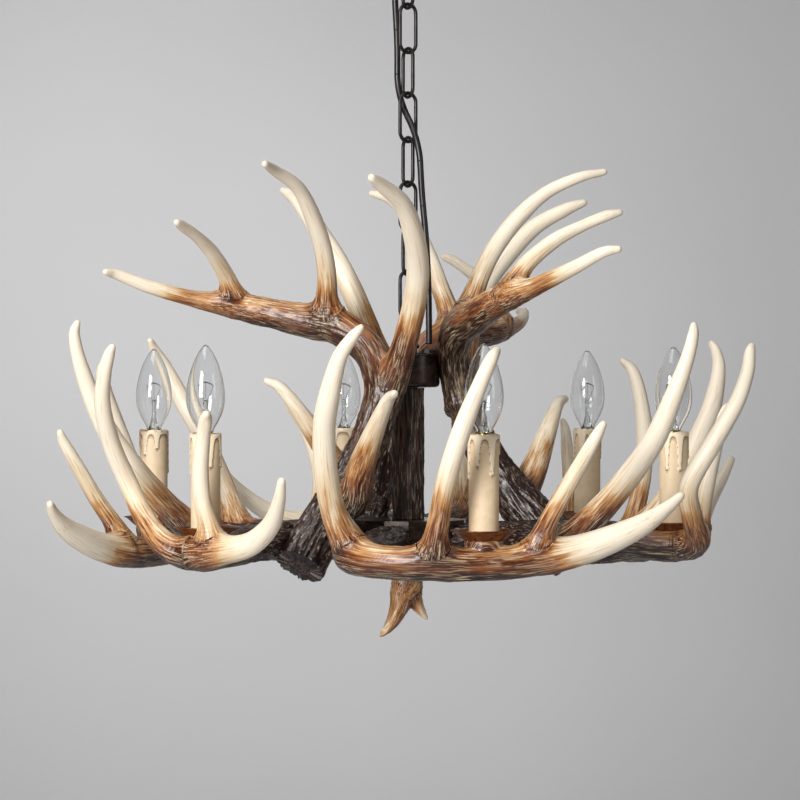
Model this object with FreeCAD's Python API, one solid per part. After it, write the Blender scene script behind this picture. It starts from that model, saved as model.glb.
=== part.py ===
import FreeCAD, Part
import math
import os

V = FreeCAD.Vector

# Antler chandelier: nine cast antlers around a hub, six candle lamps, hung on a chain from a
# ceiling plate. Millimetres, +Z up, -Y is the front. The origin is on the centre line, in the
# ceiling's plane. Antlers and hub are laid out from the hub's top face (level 0), and the whole
# fixture is lowered to where the chain ends.

# ---- ceiling plate ----
BAR_LENGTH = 98.0
BAR_WIDTH = 18.0
BAR_THICKNESS = 2.5
BAR_HOLE_SPACING = 70.0
BAR_HOLE_RADIUS = 2.5
BAR_END_ROOM = 6.0
CANOPY_RADIUS = BAR_LENGTH / 2 + BAR_END_ROOM
CANOPY_HEIGHT = 32.0
CANOPY_WALL = 1.2
CANOPY_NOSE_RADIUS = 28.0

# ---- threaded tube, nuts and loops ----
TUBE_RADIUS = 5.0
TUBE_BORE = 3.2
RUNNING_GAP = 0.3
NUT_RADIUS = 8.5
NUT_HEIGHT = 4.5
LOOP_WIRE = 4.5
LOOP_INNER_WIDTH = 14.0
LOOP_INNER_HEIGHT = 20.0
LOOP_FOOT_RADIUS = 11.0
LOOP_FOOT_HEIGHT = 6.0

# ---- chain ----
LINK_COUNT = 8
LINK_WIRE = 3.5
LINK_INNER_LENGTH = 42.5
LINK_INNER_WIDTH = 14.0
LINK_PLAY = 0.3
CHAIN_YAW = 32.0

# ---- supply cord ----
CORD_DIAMETER = 6.0
GLAND_RADIUS = 6.0
GLAND_HEIGHT = 7.0
GLAND_EDGE = 1.6
GLAND_ANGLE = 333.5
# Route from the canopy's grommet to just above the gland on the cap's lid; heights above the hub's
# top face.
CORD_ROUTE = (
    (-14.0, 15.0, 556.0), (-12.6, 14.6, 537.0), (-12.8, 13.6, 499.0), (-9.8, 14.4, 450.0),
    (-10.5, 15.6, 403.0), (10.6, -15.4, 358.5), (12.8, -12.6, 310.0), (17.0, -10.6, 268.0),
    (19.4, -10.2, 222.0), (19.8, -9.6, 190.0),
)
CORD_END_LEVEL = 166.0

# ---- middle column and cap ----
COLUMN_RADIUS = 16.0
COLUMN_HEIGHT = 125.0
COLUMN_RIDGES = 9
RIDGE_DEPTH = 1.8
CAP_RADIUS = 30.0
CAP_HEIGHT = 32.5
CAP_WALL = 2.0
CAP_CORNER = 5.0
LID_THICKNESS = 2.0

# ---- hub ----
DRUM_RADIUS = 54.0
DRUM_HEIGHT = 36.0
DRUM_WALL = 6.0
COVER_THICKNESS = 3.0
ROOT_LEVEL = -19.0
ROOT_SINK = 3.0
ROOT_DIAMETER = 27.0
NECK_REACH = 14.0
NECK_DIAMETER = 29.0
SHOULDER_REACH = 40.0
SHOULDER_DIAMETER = 32.0
BOLT_RADIUS = 3.0
BOLT_LENGTH = 34.0
BOLT_HEAD_RADIUS = 5.5
BOLT_HEAD_HEIGHT = 4.0
BOLT_PLAY = 0.1
BLOCK_SIZE = (30.0, 14.0, 12.0)
BLOCK_OFFSET = 26.0

# ---- candle lamps ----
CANDLE_CIRCLE = 255.0
SEAT_LEVEL = -8.5
BOSS_RADIUS = 16.5
BOSS_DEPTH = 20.0
PAN_RADIUS = 29.0
PAN_DEPTH = 9.0
PAN_FLOOR_RADIUS = 18.0
PAN_WALL = 1.2
SLEEVE_RADIUS = 13.2
SLEEVE_WALL = 1.4
SLEEVE_LENGTH = 92.0
WAX_THICKNESS = 1.2
WAX_COLLAR = 12.0
WAX_RUNS = ((45.0, 34.0), (180.0, 42.0), (270.0, 38.0))
STUD_RADIUS = 4.0
STUD_DEPTH = 14.0
STUD_RISE = 44.0
HOLDER_RADIUS = 10.8
HOLDER_LENGTH = 46.0
HOLDER_PLAY = 4.0
HOLDER_TOP_GAP = 2.0
LAMP_CAP_RADIUS = 6.9
LAMP_CAP_LENGTH = 22.0
BULB_RADIUS = 17.5
BULB_LENGTH = 78.0

# ---- facet counts ----
HORN_SIDES = 6
ROUND_SIDES = 14
SMALL_SIDES = 8
WIRE_SIDES = 6
BEND_STEPS = 4

# ---- antlers ----
SEAT_GAP = 0.3
ROOT_A_ANGLE = 258.0
ROOT_B_ANGLE = 212.0
CANDLE_A_ANGLE = 285.0
CANDLE_B_ANGLE = 225.0

# Each stem is a run of stations (x, y, height, diameter) for the copy that stands in front.
UPPER_STEMS = (
    # pedicle, trunk and main beam
    ((-94, -125, -38, 40), (-88, -115, -22, 37), (-76, -98, -2, 36), (-58, -77, 33, 37),
     (-38, -62, 72, 37), (-26, -54, 113, 37), (-27, -49, 141, 37), (-39, -48, 164, 37),
     (-64, -51, 180, 36), (-101, -55, 188, 32), (-138, -57, 196, 26), (-164, -57, 201, 20),
     (-196, -56, 206, 16.5), (-241, -53, 218, 12), (-270, -51, 232, 7.5), (-281, -50, 239, 3)),
    # brow tine
    ((-53, -82, 18, 30), (-46, -105, 28, 27), (-43, -120, 50, 25), (-30, -145, 86, 18),
     (-18, -161, 113, 10), (-14, -165, 121, 4)),
    # front tine, which passes before the chain
    ((-24, -50, 105, 30), (-12, -66, 135, 26), (-4, -82, 162, 23), (4, -102, 198, 22),
     (5, -122, 231, 21), (0, -142, 262, 19), (-9, -157, 289, 15), (-25, -166, 308, 9),
     (-32, -168, 314, 4)),
    # tall tine
    ((-72, -52, 182, 26), (-75, -62, 204, 20), (-75, -78, 229, 18), (-79, -93, 256, 17),
     (-88, -106, 283, 16), (-100, -118, 307, 13), (-120, -125, 322, 8), (-131, -127, 328, 3)),
    # outer tine
    ((-152, -57, 200, 22), (-160, -61, 210, 17), (-170, -68, 229, 15.5), (-183, -76, 250, 14),
     (-196, -83, 265, 11), (-208, -88, 274, 6.5), (-214, -90, 278, 3)),
)
LOWER_A_STEMS = (
    # main beam, which continues the root
    ((-36, -175, -24, 36), (-50, -225, -22, 32), (-34, -252, -26, 29), (-8, -260, -28, 28),
     (23, -260, -29, 28), (66, -253, -29, 28), (115, -248, -25, 28), (150, -249, -17, 27),
     (180, -250, -6, 24), (205, -250, 6, 19), (226, -248, 20, 12), (238, -246, 30, 4)),
    # left tine
    ((-46, -226, -22, 30), (-54, -246, -8, 26), (-63, -268, 15, 23), (-70, -292, 54, 21),
     (-71, -305, 88, 20), (-68, -312, 114, 19), (-59, -320, 148, 14), (-47, -324, 167, 8),
     (-41, -325, 176, 3)),
    # middle tine
    ((20, -258, -28, 24), (25, -276, 2, 19), (33, -292, 45, 18), (46, -305, 88, 17),
     (61, -315, 126, 14), (70, -320, 148, 9), (75, -321, 156, 4)),
    # right tine
    ((108, -247, -24, 22), (119, -258, 4, 16), (131, -268, 27, 15), (153, -278, 66, 12),
     (163, -283, 84, 8), (168, -285, 93, 3)),
)
LOWER_B_STEMS = (
    # beam that carries the candle, ending in the short hooked tine
    ((-112, -93, -16, 33), (-138, -130, -17, 31), (-160, -160, -23, 29), (-180, -186, -25, 30),
     (-181, -215, -22, 29), (-160, -240, -19, 24), (-136, -264, -11, 21), (-118, -284, 6, 17),
     (-110, -294, 26, 10), (-108, -297, 41, 4)),
    # upright tine beside the candle
    ((-178, -216, -22, 24), (-173, -238, -2, 18), (-179, -251, 27, 16), (-180, -263, 53, 15),
     (-177, -272, 79, 13), (-174, -277, 97, 8), (-173, -278, 103, 4)),
    # tall outer tine
    ((-186, -194, -24, 28), (-212, -205, -16, 23), (-232, -208, 9, 19), (-248, -208, 38, 18),
     (-261, -209, 74, 17), (-269, -209, 109, 15), (-268, -209, 136, 12), (-264, -209, 154, 7),
     (-261, -209, 160, 3)),
    # side branch and its long tine
    ((-84, -60, -17, 31), (-118, -60, -20, 32), (-160, -58, -20, 31), (-198, -55, -10, 28),
     (-226, -65, 15, 24), (-254, -78, 47, 22), (-277, -88, 82, 20), (-294, -95, 118, 17),
     (-307, -101, 149, 13), (-313, -103, 169, 8), (-315, -104, 178, 3)),
)
FINIAL_STEMS = (
    ((0, 0, -46, 26), (-2, 0, -59, 25), (-7, -3, -72, 16), (-10, -5, -86, 14),
     (-15, -7, -97, 11.5), (-22, -8, -106, 8), (-27, -9, -110, 3)),
    ((2, 2, -52, 16), (7, 5, -66, 11), (9, 7, -78, 9), (14, 9, -89, 7), (18, 10, -95, 3)),
    ((-3, 3, -56, 18), (-6, 9, -74, 12), (-8, 13, -88, 9), (-9, 15, -97, 4)),
)


def turn(shape, angle):
    """A copy of the shape, turned about the centre line."""
    copy = shape.copy()
    copy.rotate(V(0, 0, 0), V(0, 0, 1), angle)
    return copy


def polar(radius, angle, z=0.0):
    """The point at a radius and an angle in degrees about the centre line."""
    a = math.radians(angle)
    return V(radius * math.cos(a), radius * math.sin(a), z)


def flat_faces(corners):
    """One face through four corners, or two triangles where they don't lie in one plane."""
    a, b, c, d = corners
    normal = (b - a).cross(d - a)
    normal.normalize()
    if abs((c - a).dot(normal)) < 1e-7:
        return [Part.Face(Part.makePolygon([a, b, c, d, a]))]
    return [Part.Face(Part.makePolygon([a, b, c, a])), Part.Face(Part.makePolygon([a, c, d, a]))]


def skin(rings, closed=False):
    """The solid bounded by flat facets between rings of points, joined end to end if closed."""
    faces = []
    pairs = list(zip(rings, rings[1:]))
    if closed:
        pairs.append((rings[-1], rings[0]))
    else:
        faces.append(Part.Face(Part.makePolygon(rings[0] + rings[0][:1])))
        faces.append(Part.Face(Part.makePolygon(rings[-1] + rings[-1][:1])))
    for low, high in pairs:
        count = len(low)
        for k in range(count):
            n = (k + 1) % count
            faces += flat_faces((low[k], low[n], high[n], high[k]))
    solid = Part.Solid(Part.Shell(faces))
    if solid.Volume < 0:
        solid.reverse()
    return solid


def ring(centre, direction, radius, sides):
    """Points around a centre, square to a direction; the first lies towards -Y or -X."""
    along = V(direction)
    along.normalize()
    side = along.cross(V(0, 1, 0.3))
    side.normalize()
    up = side.cross(along)
    points = []
    for k in range(sides):
        a = 2 * math.pi * k / sides
        points.append(centre + side * (radius * math.cos(a)) + up * (radius * math.sin(a)))
    return points


def turned(profile, sides, axis=(0.0, 0.0)):
    """A lathe form with flat facets; the profile is a closed run of (radius, height)."""
    rings = []
    for k in range(sides):
        a = 2 * math.pi * k / sides
        rings.append([V(axis[0] + r * math.cos(a), axis[1] + r * math.sin(a), z)
                      for r, z in profile])
    return skin(rings, closed=True)


def rod(start, end, radius, sides=SMALL_SIDES):
    """A straight faceted bar."""
    return skin([ring(start, end - start, radius, sides), ring(end, end - start, radius, sides)])


def prism(points, height):
    """An upright prism on a flat outline."""
    return Part.Face(Part.makePolygon(points + points[:1])).extrude(V(0, 0, height))


def horn(stations, grow=0.0):
    """One antler stem: rings at its stations, each a half step round from the one before, so
    that the facets are triangles and the outline stays round."""
    centres = [V(x, y, z) for x, y, z, _ in stations]
    rings = []
    side = V(0, 0, 0)
    for i, centre in enumerate(centres):
        along = centres[min(i + 1, len(centres) - 1)] - centres[max(i - 1, 0)]
        along.normalize()
        if i == 0:
            side = along.cross(V(0.3, 1, 0.2))
        side = side - along * side.dot(along)
        side.normalize()
        up = along.cross(side)
        radius = stations[i][3] / 2 + grow
        points = []
        for k in range(HORN_SIDES):
            a = 2 * math.pi * (k + i / 2) / HORN_SIDES
            points.append(centre + side * (radius * math.cos(a)) + up * (radius * math.sin(a)))
        rings.append(points)
    return skin(rings)


def joined(solids):
    """Solids fused into one."""
    result = solids[0].fuse(solids[1:])
    return result.Solids[0] if len(result.Solids) == 1 else result


def wire_loop(wire, inner_width, inner_height):
    """An upright loop of round wire in the XZ plane, with half-round ends, about the origin."""
    bend = (inner_width + wire) / 2
    rise = (inner_height - inner_width) / 2
    stations = []
    for end in (1, -1):
        for step in range(BEND_STEPS + 1):
            a = math.pi * (step / BEND_STEPS + (0 if end > 0 else 1))
            out = V(math.cos(a), 0, math.sin(a))
            stations.append((V(0, 0, end * rise) + out * bend, out))
    rings = []
    for centre, out in stations:
        points = []
        for k in range(WIRE_SIDES):
            a = 2 * math.pi * (k + 0.5) / WIRE_SIDES
            reach = wire / 2 * math.cos(a)
            points.append(centre + out * reach + V(0, wire / 2 * math.sin(a), 0))
        rings.append(points)
    return skin(rings, closed=True)


def moved(shape, x=0.0, y=0.0, z=0.0):
    """A copy of the shape, shifted."""
    copy = shape.copy()
    copy.translate(V(x, y, z))
    return copy


def tangent_outline(radius, normals, z):
    """The corners of the outline whose sides touch a circle square to each given angle."""
    points = []
    for i, angle in enumerate(normals):
        after = normals[(i + 1) % len(normals)]
        half = ((after - angle) % 360) / 2
        points.append(polar(radius / math.cos(math.radians(half)), angle + half, z))
    return points


def hex_nut(radius, low, height, bore):
    """A hexagonal nut on the centre line."""
    outside = prism([polar(radius, 60 * k, low) for k in range(6)], height)
    return outside.cut(rod(V(0, 0, low - 1), V(0, 0, low + height + 1), bore))


# ---- levels, worked out from the top down ----
LINK_PITCH = LINK_INNER_LENGTH - LINK_PLAY
CANOPY_FLOOR = -CANOPY_HEIGHT
CEILING_LOOP_TOP = CANOPY_FLOOR - LOOP_FOOT_HEIGHT
LOOP_SINK = 1.0
CEILING_LOOP_CENTRE = CEILING_LOOP_TOP + LOOP_SINK - LOOP_WIRE - LOOP_INNER_HEIGHT / 2
CEILING_LOOP_LOW = CEILING_LOOP_CENTRE - LOOP_INNER_HEIGHT / 2
FIRST_LINK = CEILING_LOOP_LOW + LINK_PLAY - LINK_INNER_LENGTH / 2
LAST_LINK = FIRST_LINK - (LINK_COUNT - 1) * LINK_PITCH
FIXTURE_LOOP_HIGH = LAST_LINK - LINK_INNER_LENGTH / 2 + LINK_PLAY
FIXTURE_LOOP_CENTRE = FIXTURE_LOOP_HIGH - LOOP_INNER_HEIGHT / 2
LOOP_FOOT_TOP = FIXTURE_LOOP_CENTRE - LOOP_INNER_HEIGHT / 2 - LOOP_WIRE + LOOP_SINK
LID_TOP = LOOP_FOOT_TOP - LOOP_FOOT_HEIGHT - NUT_HEIGHT
CAP_TOP = LID_TOP - LID_THICKNESS
CAP_FLOOR = CAP_TOP - CAP_HEIGHT + LID_THICKNESS
HUB_TOP = CAP_FLOOR - COLUMN_HEIGHT


def ceiling_bar():
    """Steel bar screwed to the ceiling, with two screw holes and a hole for the tube."""
    bar = Part.makeBox(BAR_LENGTH, BAR_WIDTH, BAR_THICKNESS,
                       V(-BAR_LENGTH / 2, -BAR_WIDTH / 2, -BAR_THICKNESS))
    for side in (1, -1):
        place = V(side * BAR_HOLE_SPACING / 2, 0, -2 * BAR_THICKNESS)
        bar = bar.cut(Part.makeCylinder(BAR_HOLE_RADIUS, 3 * BAR_THICKNESS, place))
    return bar.cut(rod(V(0, 0, -2 * BAR_THICKNESS), V(0, 0, 1), TUBE_RADIUS))


def canopy():
    """Spun cover over the ceiling bar, with holes for the tube and the cord's grommet."""
    shoulder = (CANOPY_RADIUS + CANOPY_NOSE_RADIUS) / 2 + 4
    outside = [(CANOPY_RADIUS, 0), (CANOPY_RADIUS - 2, -CANOPY_HEIGHT * 0.3),
               (shoulder, -CANOPY_HEIGHT * 0.72), (CANOPY_NOSE_RADIUS, -CANOPY_HEIGHT)]
    inside = [(CANOPY_NOSE_RADIUS - 1, CANOPY_WALL - CANOPY_HEIGHT),
              (shoulder - CANOPY_WALL, -CANOPY_HEIGHT * 0.68),
              (CANOPY_RADIUS - 2 - CANOPY_WALL, -CANOPY_HEIGHT * 0.28),
              (CANOPY_RADIUS - CANOPY_WALL, 0)]
    hole = TUBE_RADIUS + RUNNING_GAP
    profile = [(hole, CANOPY_FLOOR)] + outside[::-1] + inside[::-1]
    profile.append((hole, CANOPY_FLOOR + CANOPY_WALL))
    shell = turned(profile, ROUND_SIDES)
    x, y, _ = CORD_ROUTE[0]
    return shell.cut(rod(V(x, y, CANOPY_FLOOR - 2), V(x, y, CANOPY_FLOOR + 4), GLAND_RADIUS - 1))


def grommet(x, y, face, thickness):
    """Bushing that lines a cord hole, with a collar on the outer side of the plate."""
    hole = CORD_DIAMETER / 2 + RUNNING_GAP
    neck = GLAND_RADIUS - 1 - RUNNING_GAP / 2
    sign = 1 if thickness < 0 else -1
    profile = [(hole, face + sign * 3), (GLAND_RADIUS, face + sign * 3), (GLAND_RADIUS + 1, face),
               (neck, face), (neck, face + thickness), (hole, face + thickness)]
    return turned(profile, SMALL_SIDES, (x, y))


def loop_with_foot(centre, yaw, foot_low, foot_high, tube_low, tube_high):
    """A wire eye on a round foot that is threaded on a tube."""
    eye = moved(wire_loop(LOOP_WIRE, LOOP_INNER_WIDTH, LOOP_INNER_HEIGHT), z=centre)
    edge = LOOP_FOOT_RADIUS
    foot = skin([ring(V(0, 0, z), V(0, 0, 1), r, SMALL_SIDES) for z, r in
                 ((foot_low, edge - 1), (foot_low + 1, edge), (foot_high - 1, edge),
                  (foot_high, edge - 1))])
    tube = rod(V(0, 0, tube_low), V(0, 0, tube_high), TUBE_RADIUS)
    return turn(joined([eye, foot]), yaw).cut(tube)


def link_yaw(index):
    """Neighbours in the chain stand square to each other."""
    return CHAIN_YAW + (90 if index % 2 == 0 else 0)


def chain_link(index):
    """One welded oval link."""
    link = wire_loop(LINK_WIRE, LINK_INNER_WIDTH, LINK_INNER_LENGTH)
    return moved(turn(link, link_yaw(index)), z=FIRST_LINK - index * LINK_PITCH)


def gland_place():
    """Where the cord enters the cap's lid, close to the lid's edge."""
    return polar(CAP_RADIUS - GLAND_RADIUS - GLAND_EDGE, GLAND_ANGLE)


def cord():
    """Supply cord: straight runs joined by tangent arcs, as large as the runs allow."""
    points = [V(x, y, z + HUB_TOP) for x, y, z in CORD_ROUTE]
    points.append(gland_place() + V(0, 0, CORD_END_LEVEL + HUB_TOP))
    edges = []
    start = points[0]
    for before, corner, after in zip(points, points[1:], points[2:]):
        run_in = corner - before
        run_out = after - corner
        half = run_in.getAngle(run_out) / 2
        shorter = min(run_in.Length, run_out.Length)
        reach = 0.45 * shorter
        radius = reach / math.tan(half)
        print("cord bend radius %.0f mm over %.0f degrees" % (radius, 2 * math.degrees(half)))
        towards = V(run_in).normalize()
        onwards = V(run_out).normalize()
        first = corner - towards * reach
        last = corner + onwards * reach
        inward = (onwards - towards).normalize()
        middle = corner + inward * (radius / math.cos(half) - radius)
        edges.append(Part.LineSegment(start, first).toShape())
        edges.append(Part.Arc(first, middle, last).toShape())
        start = last
    edges.append(Part.LineSegment(start, points[-1]).toShape())
    path = Part.Wire(edges)
    outline = ring(points[0], points[1] - points[0], CORD_DIAMETER / 2, WIRE_SIDES)
    section = Part.makePolygon(outline + outline[:1])
    tube = path.makePipeShell([section], True, False)
    expected = Part.Face(section).Area * path.Length
    print("cord length %.0f mm, volume %.4f of its section times length"
          % (path.Length, tube.Volume / expected))
    return tube


def lamp_pipe(low, high):
    """Threaded tube through cap, column and hub, which carries the weight."""
    outside = rod(V(0, 0, low), V(0, 0, high), TUBE_RADIUS)
    return outside.cut(rod(V(0, 0, low - 1), V(0, 0, high + 1), TUBE_BORE))


def column():
    """Bark-ridged cover tube between hub and cap."""
    outline = []
    for k in range(2 * COLUMN_RIDGES):
        radius = COLUMN_RADIUS - (RIDGE_DEPTH if k % 2 else 0)
        outline.append(polar(radius, 180 * k / COLUMN_RIDGES, HUB_TOP))
    hole = rod(V(0, 0, HUB_TOP - 1), V(0, 0, CAP_FLOOR + 1), TUBE_RADIUS + RUNNING_GAP)
    return prism(outline, COLUMN_HEIGHT).cut(hole)


def top_cap():
    """Round-bottomed metal cup on the column."""
    hole = TUBE_RADIUS + RUNNING_GAP
    inner = CAP_RADIUS - CAP_WALL
    bevel = CAP_CORNER * 0.3
    profile = [(hole, CAP_FLOOR), (CAP_RADIUS - CAP_CORNER, CAP_FLOOR),
               (CAP_RADIUS - bevel, CAP_FLOOR + bevel), (CAP_RADIUS, CAP_FLOOR + CAP_CORNER),
               (CAP_RADIUS, CAP_TOP), (inner, CAP_TOP), (inner, CAP_FLOOR + CAP_CORNER),
               (inner - bevel, CAP_FLOOR + CAP_WALL), (hole, CAP_FLOOR + CAP_WALL)]
    return turned(profile, ROUND_SIDES)


def cap_lid():
    """Flat lid on the cup, with the hole for the cord's gland."""
    hole = TUBE_RADIUS + RUNNING_GAP
    edge = CAP_RADIUS
    inner = CAP_RADIUS - CAP_WALL - RUNNING_GAP
    profile = [(hole, CAP_TOP - 1.5), (inner, CAP_TOP - 1.5), (inner, CAP_TOP), (edge, CAP_TOP),
               (edge, LID_TOP - 1), (edge - 1, LID_TOP), (hole, LID_TOP)]
    lid = turned(profile, ROUND_SIDES)
    place = gland_place()
    above = V(0, 0, LID_TOP + LID_THICKNESS)
    below = V(0, 0, LID_TOP - 3 * LID_THICKNESS)
    return lid.cut(rod(place + below, place + above, GLAND_RADIUS - 1))


def drum_normals():
    """Side directions of the drum: one flat for each antler root and two or one between."""
    angles = []
    for k in range(3):
        b = ROOT_B_ANGLE + 120 * k
        a = ROOT_A_ANGLE + 120 * k
        gap = (b + 120 - a) / 3
        angles += [b, (a + b) / 2, a, a + gap, a + 2 * gap]
    return angles


def hub_drum():
    """Hub: a deep cup, open below, with a flat and a bolt hole for each antler root."""
    low = HUB_TOP - DRUM_HEIGHT
    normals = drum_normals()
    outside = prism(tangent_outline(DRUM_RADIUS, normals, low), DRUM_HEIGHT)
    inside = prism(tangent_outline(DRUM_RADIUS - DRUM_WALL, normals, low - 1),
                   DRUM_HEIGHT - DRUM_WALL + 1)
    drum = outside.cut(inside)
    hole = rod(V(0, 0, low - 1), V(0, 0, HUB_TOP + 1), TUBE_RADIUS + RUNNING_GAP)
    shanks = [turn(bolt_hole(a), 120 * k) for a in (ROOT_A_ANGLE, ROOT_B_ANGLE) for k in range(3)]
    return drum.cut([hole] + shanks)


def bolt_hole(angle):
    """The space of one antler bolt's shank, with play."""
    z = HUB_TOP + ROOT_LEVEL
    inner = DRUM_RADIUS - DRUM_WALL
    tip = inner + BOLT_LENGTH + 1
    return rod(polar(inner - 1, angle, z), polar(tip, angle, z), BOLT_RADIUS + BOLT_PLAY, WIRE_SIDES)


def antler_bolt(angle):
    """Bolt from inside the drum into an antler root."""
    z = HUB_TOP + ROOT_LEVEL
    inner = DRUM_RADIUS - DRUM_WALL
    shank = rod(polar(inner, angle, z), polar(inner + BOLT_LENGTH, angle, z), BOLT_RADIUS, WIRE_SIDES)
    head = rod(polar(inner - BOLT_HEAD_HEIGHT, angle, z), polar(inner, angle, z),
               BOLT_HEAD_RADIUS, 6)
    return joined([shank, head])


def hub_cover():
    """Plate that closes the hub from below."""
    low = HUB_TOP - DRUM_HEIGHT - COVER_THICKNESS
    plate = prism(tangent_outline(DRUM_RADIUS, drum_normals(), low), COVER_THICKNESS)
    return plate.cut(rod(V(0, 0, low - 1), V(0, 0, low + COVER_THICKNESS + 1),
                         TUBE_RADIUS + RUNNING_GAP))


def terminal_block():
    """Connector block under the drum's roof, where the six lamp leads meet the cord."""
    long, wide, high = BLOCK_SIZE
    roof = HUB_TOP - DRUM_WALL
    return Part.makeBox(long, wide, high, V(-long / 2, BLOCK_OFFSET - wide / 2, roof - high))


def antler(stems, grow=0.0):
    """The stems of one antler, placed at the fixture's height and fused."""
    return moved(joined([horn(stem, grow) for stem in stems]), z=HUB_TOP)


def root_stem(angle, stations):
    """The straight root of a lower antler, from inside the drum's flat to its first stations."""
    start = []
    for radius, diameter in ((DRUM_RADIUS - ROOT_SINK, ROOT_DIAMETER),
                             (DRUM_RADIUS + NECK_REACH, NECK_DIAMETER),
                             (DRUM_RADIUS + SHOULDER_REACH, SHOULDER_DIAMETER)):
        point = polar(radius, angle, ROOT_LEVEL)
        start.append((point.x, point.y, point.z, diameter))
    return tuple(start) + stations


def candle_boss(angle):
    """Round seat for a drip pan on an antler."""
    centre = polar(CANDLE_CIRCLE, angle, HUB_TOP + SEAT_LEVEL)
    low = centre - V(0, 0, BOSS_DEPTH)
    return skin([ring(low, V(0, 0, 1), BOSS_RADIUS - 3, SMALL_SIDES),
                 ring(centre, V(0, 0, 1), BOSS_RADIUS, SMALL_SIDES)])


def lower_antler(stems, root_angle, candle_angle):
    """A lower antler with its root cut to the drum, its bolt hole, candle boss and stud hole."""
    body = joined([antler(stems), candle_boss(candle_angle)])
    low = HUB_TOP - 2 * DRUM_HEIGHT
    drum = prism(tangent_outline(DRUM_RADIUS, drum_normals(), low), 3 * DRUM_HEIGHT)
    seat = polar(CANDLE_CIRCLE, candle_angle, HUB_TOP + SEAT_LEVEL)
    above = rod(seat, seat + V(0, 0, 2 * PAN_DEPTH), PAN_RADIUS + 1)
    stud = rod(seat - V(0, 0, STUD_DEPTH), seat + V(0, 0, 1), STUD_RADIUS)
    return body.cut([drum, above, stud, bolt_hole(root_angle)])


def drip_pan(x, y):
    """Shallow spun dish under a candle."""
    floor = HUB_TOP + SEAT_LEVEL
    rim = floor + PAN_DEPTH
    hole = STUD_RADIUS + RUNNING_GAP
    profile = [(hole, floor), (PAN_FLOOR_RADIUS, floor), (PAN_RADIUS, rim),
               (PAN_RADIUS - PAN_WALL, rim), (PAN_FLOOR_RADIUS - 0.5, floor + PAN_WALL),
               (hole, floor + PAN_WALL)]
    return turned(profile, SMALL_SIDES, (x, y))


def candle_stud(x, y):
    """Threaded stud from the antler's boss up into the lampholder."""
    floor = HUB_TOP + SEAT_LEVEL
    return rod(V(x, y, floor - STUD_DEPTH), V(x, y, floor + STUD_RISE), STUD_RADIUS)


def lamp_holder(x, y):
    """Lampholder on the stud, inside the sleeve, open at the top for the lamp's cap."""
    top = sleeve_top() - HOLDER_TOP_GAP
    low = top - HOLDER_LENGTH
    stud_top = HUB_TOP + SEAT_LEVEL + STUD_RISE
    bore = LAMP_CAP_RADIUS + RUNNING_GAP
    outside = rod(V(x, y, low), V(x, y, top), HOLDER_RADIUS)
    socket = rod(V(x, y, top - LAMP_CAP_LENGTH - HOLDER_PLAY), V(x, y, top + 1), bore)
    stud = rod(V(x, y, low - 1), V(x, y, stud_top), STUD_RADIUS)
    return outside.cut([socket, stud])


def sleeve_top():
    """Height of a candle sleeve's rim."""
    return HUB_TOP + SEAT_LEVEL + PAN_WALL + SLEEVE_LENGTH


def candle_sleeve(x, y):
    """Card candle tube with a wax collar and wax runs down its side."""
    low = HUB_TOP + SEAT_LEVEL + PAN_WALL
    top = sleeve_top()
    outer = SLEEVE_RADIUS
    wax = outer + WAX_THICKNESS
    inner = outer - SLEEVE_WALL
    profile = [(inner, low), (outer, low), (outer, top - WAX_COLLAR),
               (wax, top - WAX_COLLAR + 4), (wax, top - 1), (inner, top)]
    tube = turned(profile, SMALL_SIDES, (x, y))
    runs = []
    for place, length in WAX_RUNS:
        middle = V(x, y, 0) + polar(outer, place)
        stations = [(top - 6, 0.9), (top - length + 3, 1.3), (top - length, 0.8)]
        runs.append(skin([ring(middle + V(0, 0, z), V(0, 0, 1), r, 4) for z, r in stations]))
    return joined([tube] + runs)


def lamp_cap(x, y):
    """Screw cap of a lamp, in its holder."""
    top = sleeve_top() + 0.5
    low = top - LAMP_CAP_LENGTH
    return skin([ring(V(x, y, z), V(0, 0, 1), r, SMALL_SIDES) for z, r in
                 ((low, 2.5), (low + 3, LAMP_CAP_RADIUS - 1), (low + 4, LAMP_CAP_RADIUS),
                  (top, LAMP_CAP_RADIUS))])


def bulb(x, y):
    """Candle-shaped glass of a lamp, on its cap."""
    low = sleeve_top() + 0.5
    shape = ((0.0, 0.42), (0.1, 0.6), (0.24, 0.9), (0.4, 1.0), (0.58, 0.9), (0.75, 0.66),
             (0.92, 0.28), (1.0, 0.1))
    return skin([ring(V(x, y, low + BULB_LENGTH * t), V(0, 0, 1), BULB_RADIUS * r, SMALL_SIDES)
                 for t, r in shape])


def at_each_candle(make):
    """A candle's piece at all six places, in order round the circle."""
    seats = [polar(CANDLE_CIRCLE, a) for a in (CANDLE_B_ANGLE, CANDLE_A_ANGLE)]
    shapes = [make(seat.x, seat.y) for seat in seats]
    return [turn(shape, 120 * k) for k in range(3) for shape in shapes]


def finial():
    """Small three-point antler under the hub, on the tube's end."""
    body = antler(FINIAL_STEMS)
    end = HUB_TOP - DRUM_HEIGHT - COVER_THICKNESS - NUT_HEIGHT
    above = rod(V(0, 0, end), V(0, 0, HUB_TOP), 2 * CAP_RADIUS)
    tube = rod(V(0, 0, end - NUT_HEIGHT), V(0, 0, end + 1), TUBE_RADIUS)
    return body.cut([above, tube])


def save(name, *solids):
    """Write one node from its solids."""
    shape = solids[0] if len(solids) == 1 else Part.makeCompound(list(solids))
    shape.exportStep("parts/%s.step" % name)


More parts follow.
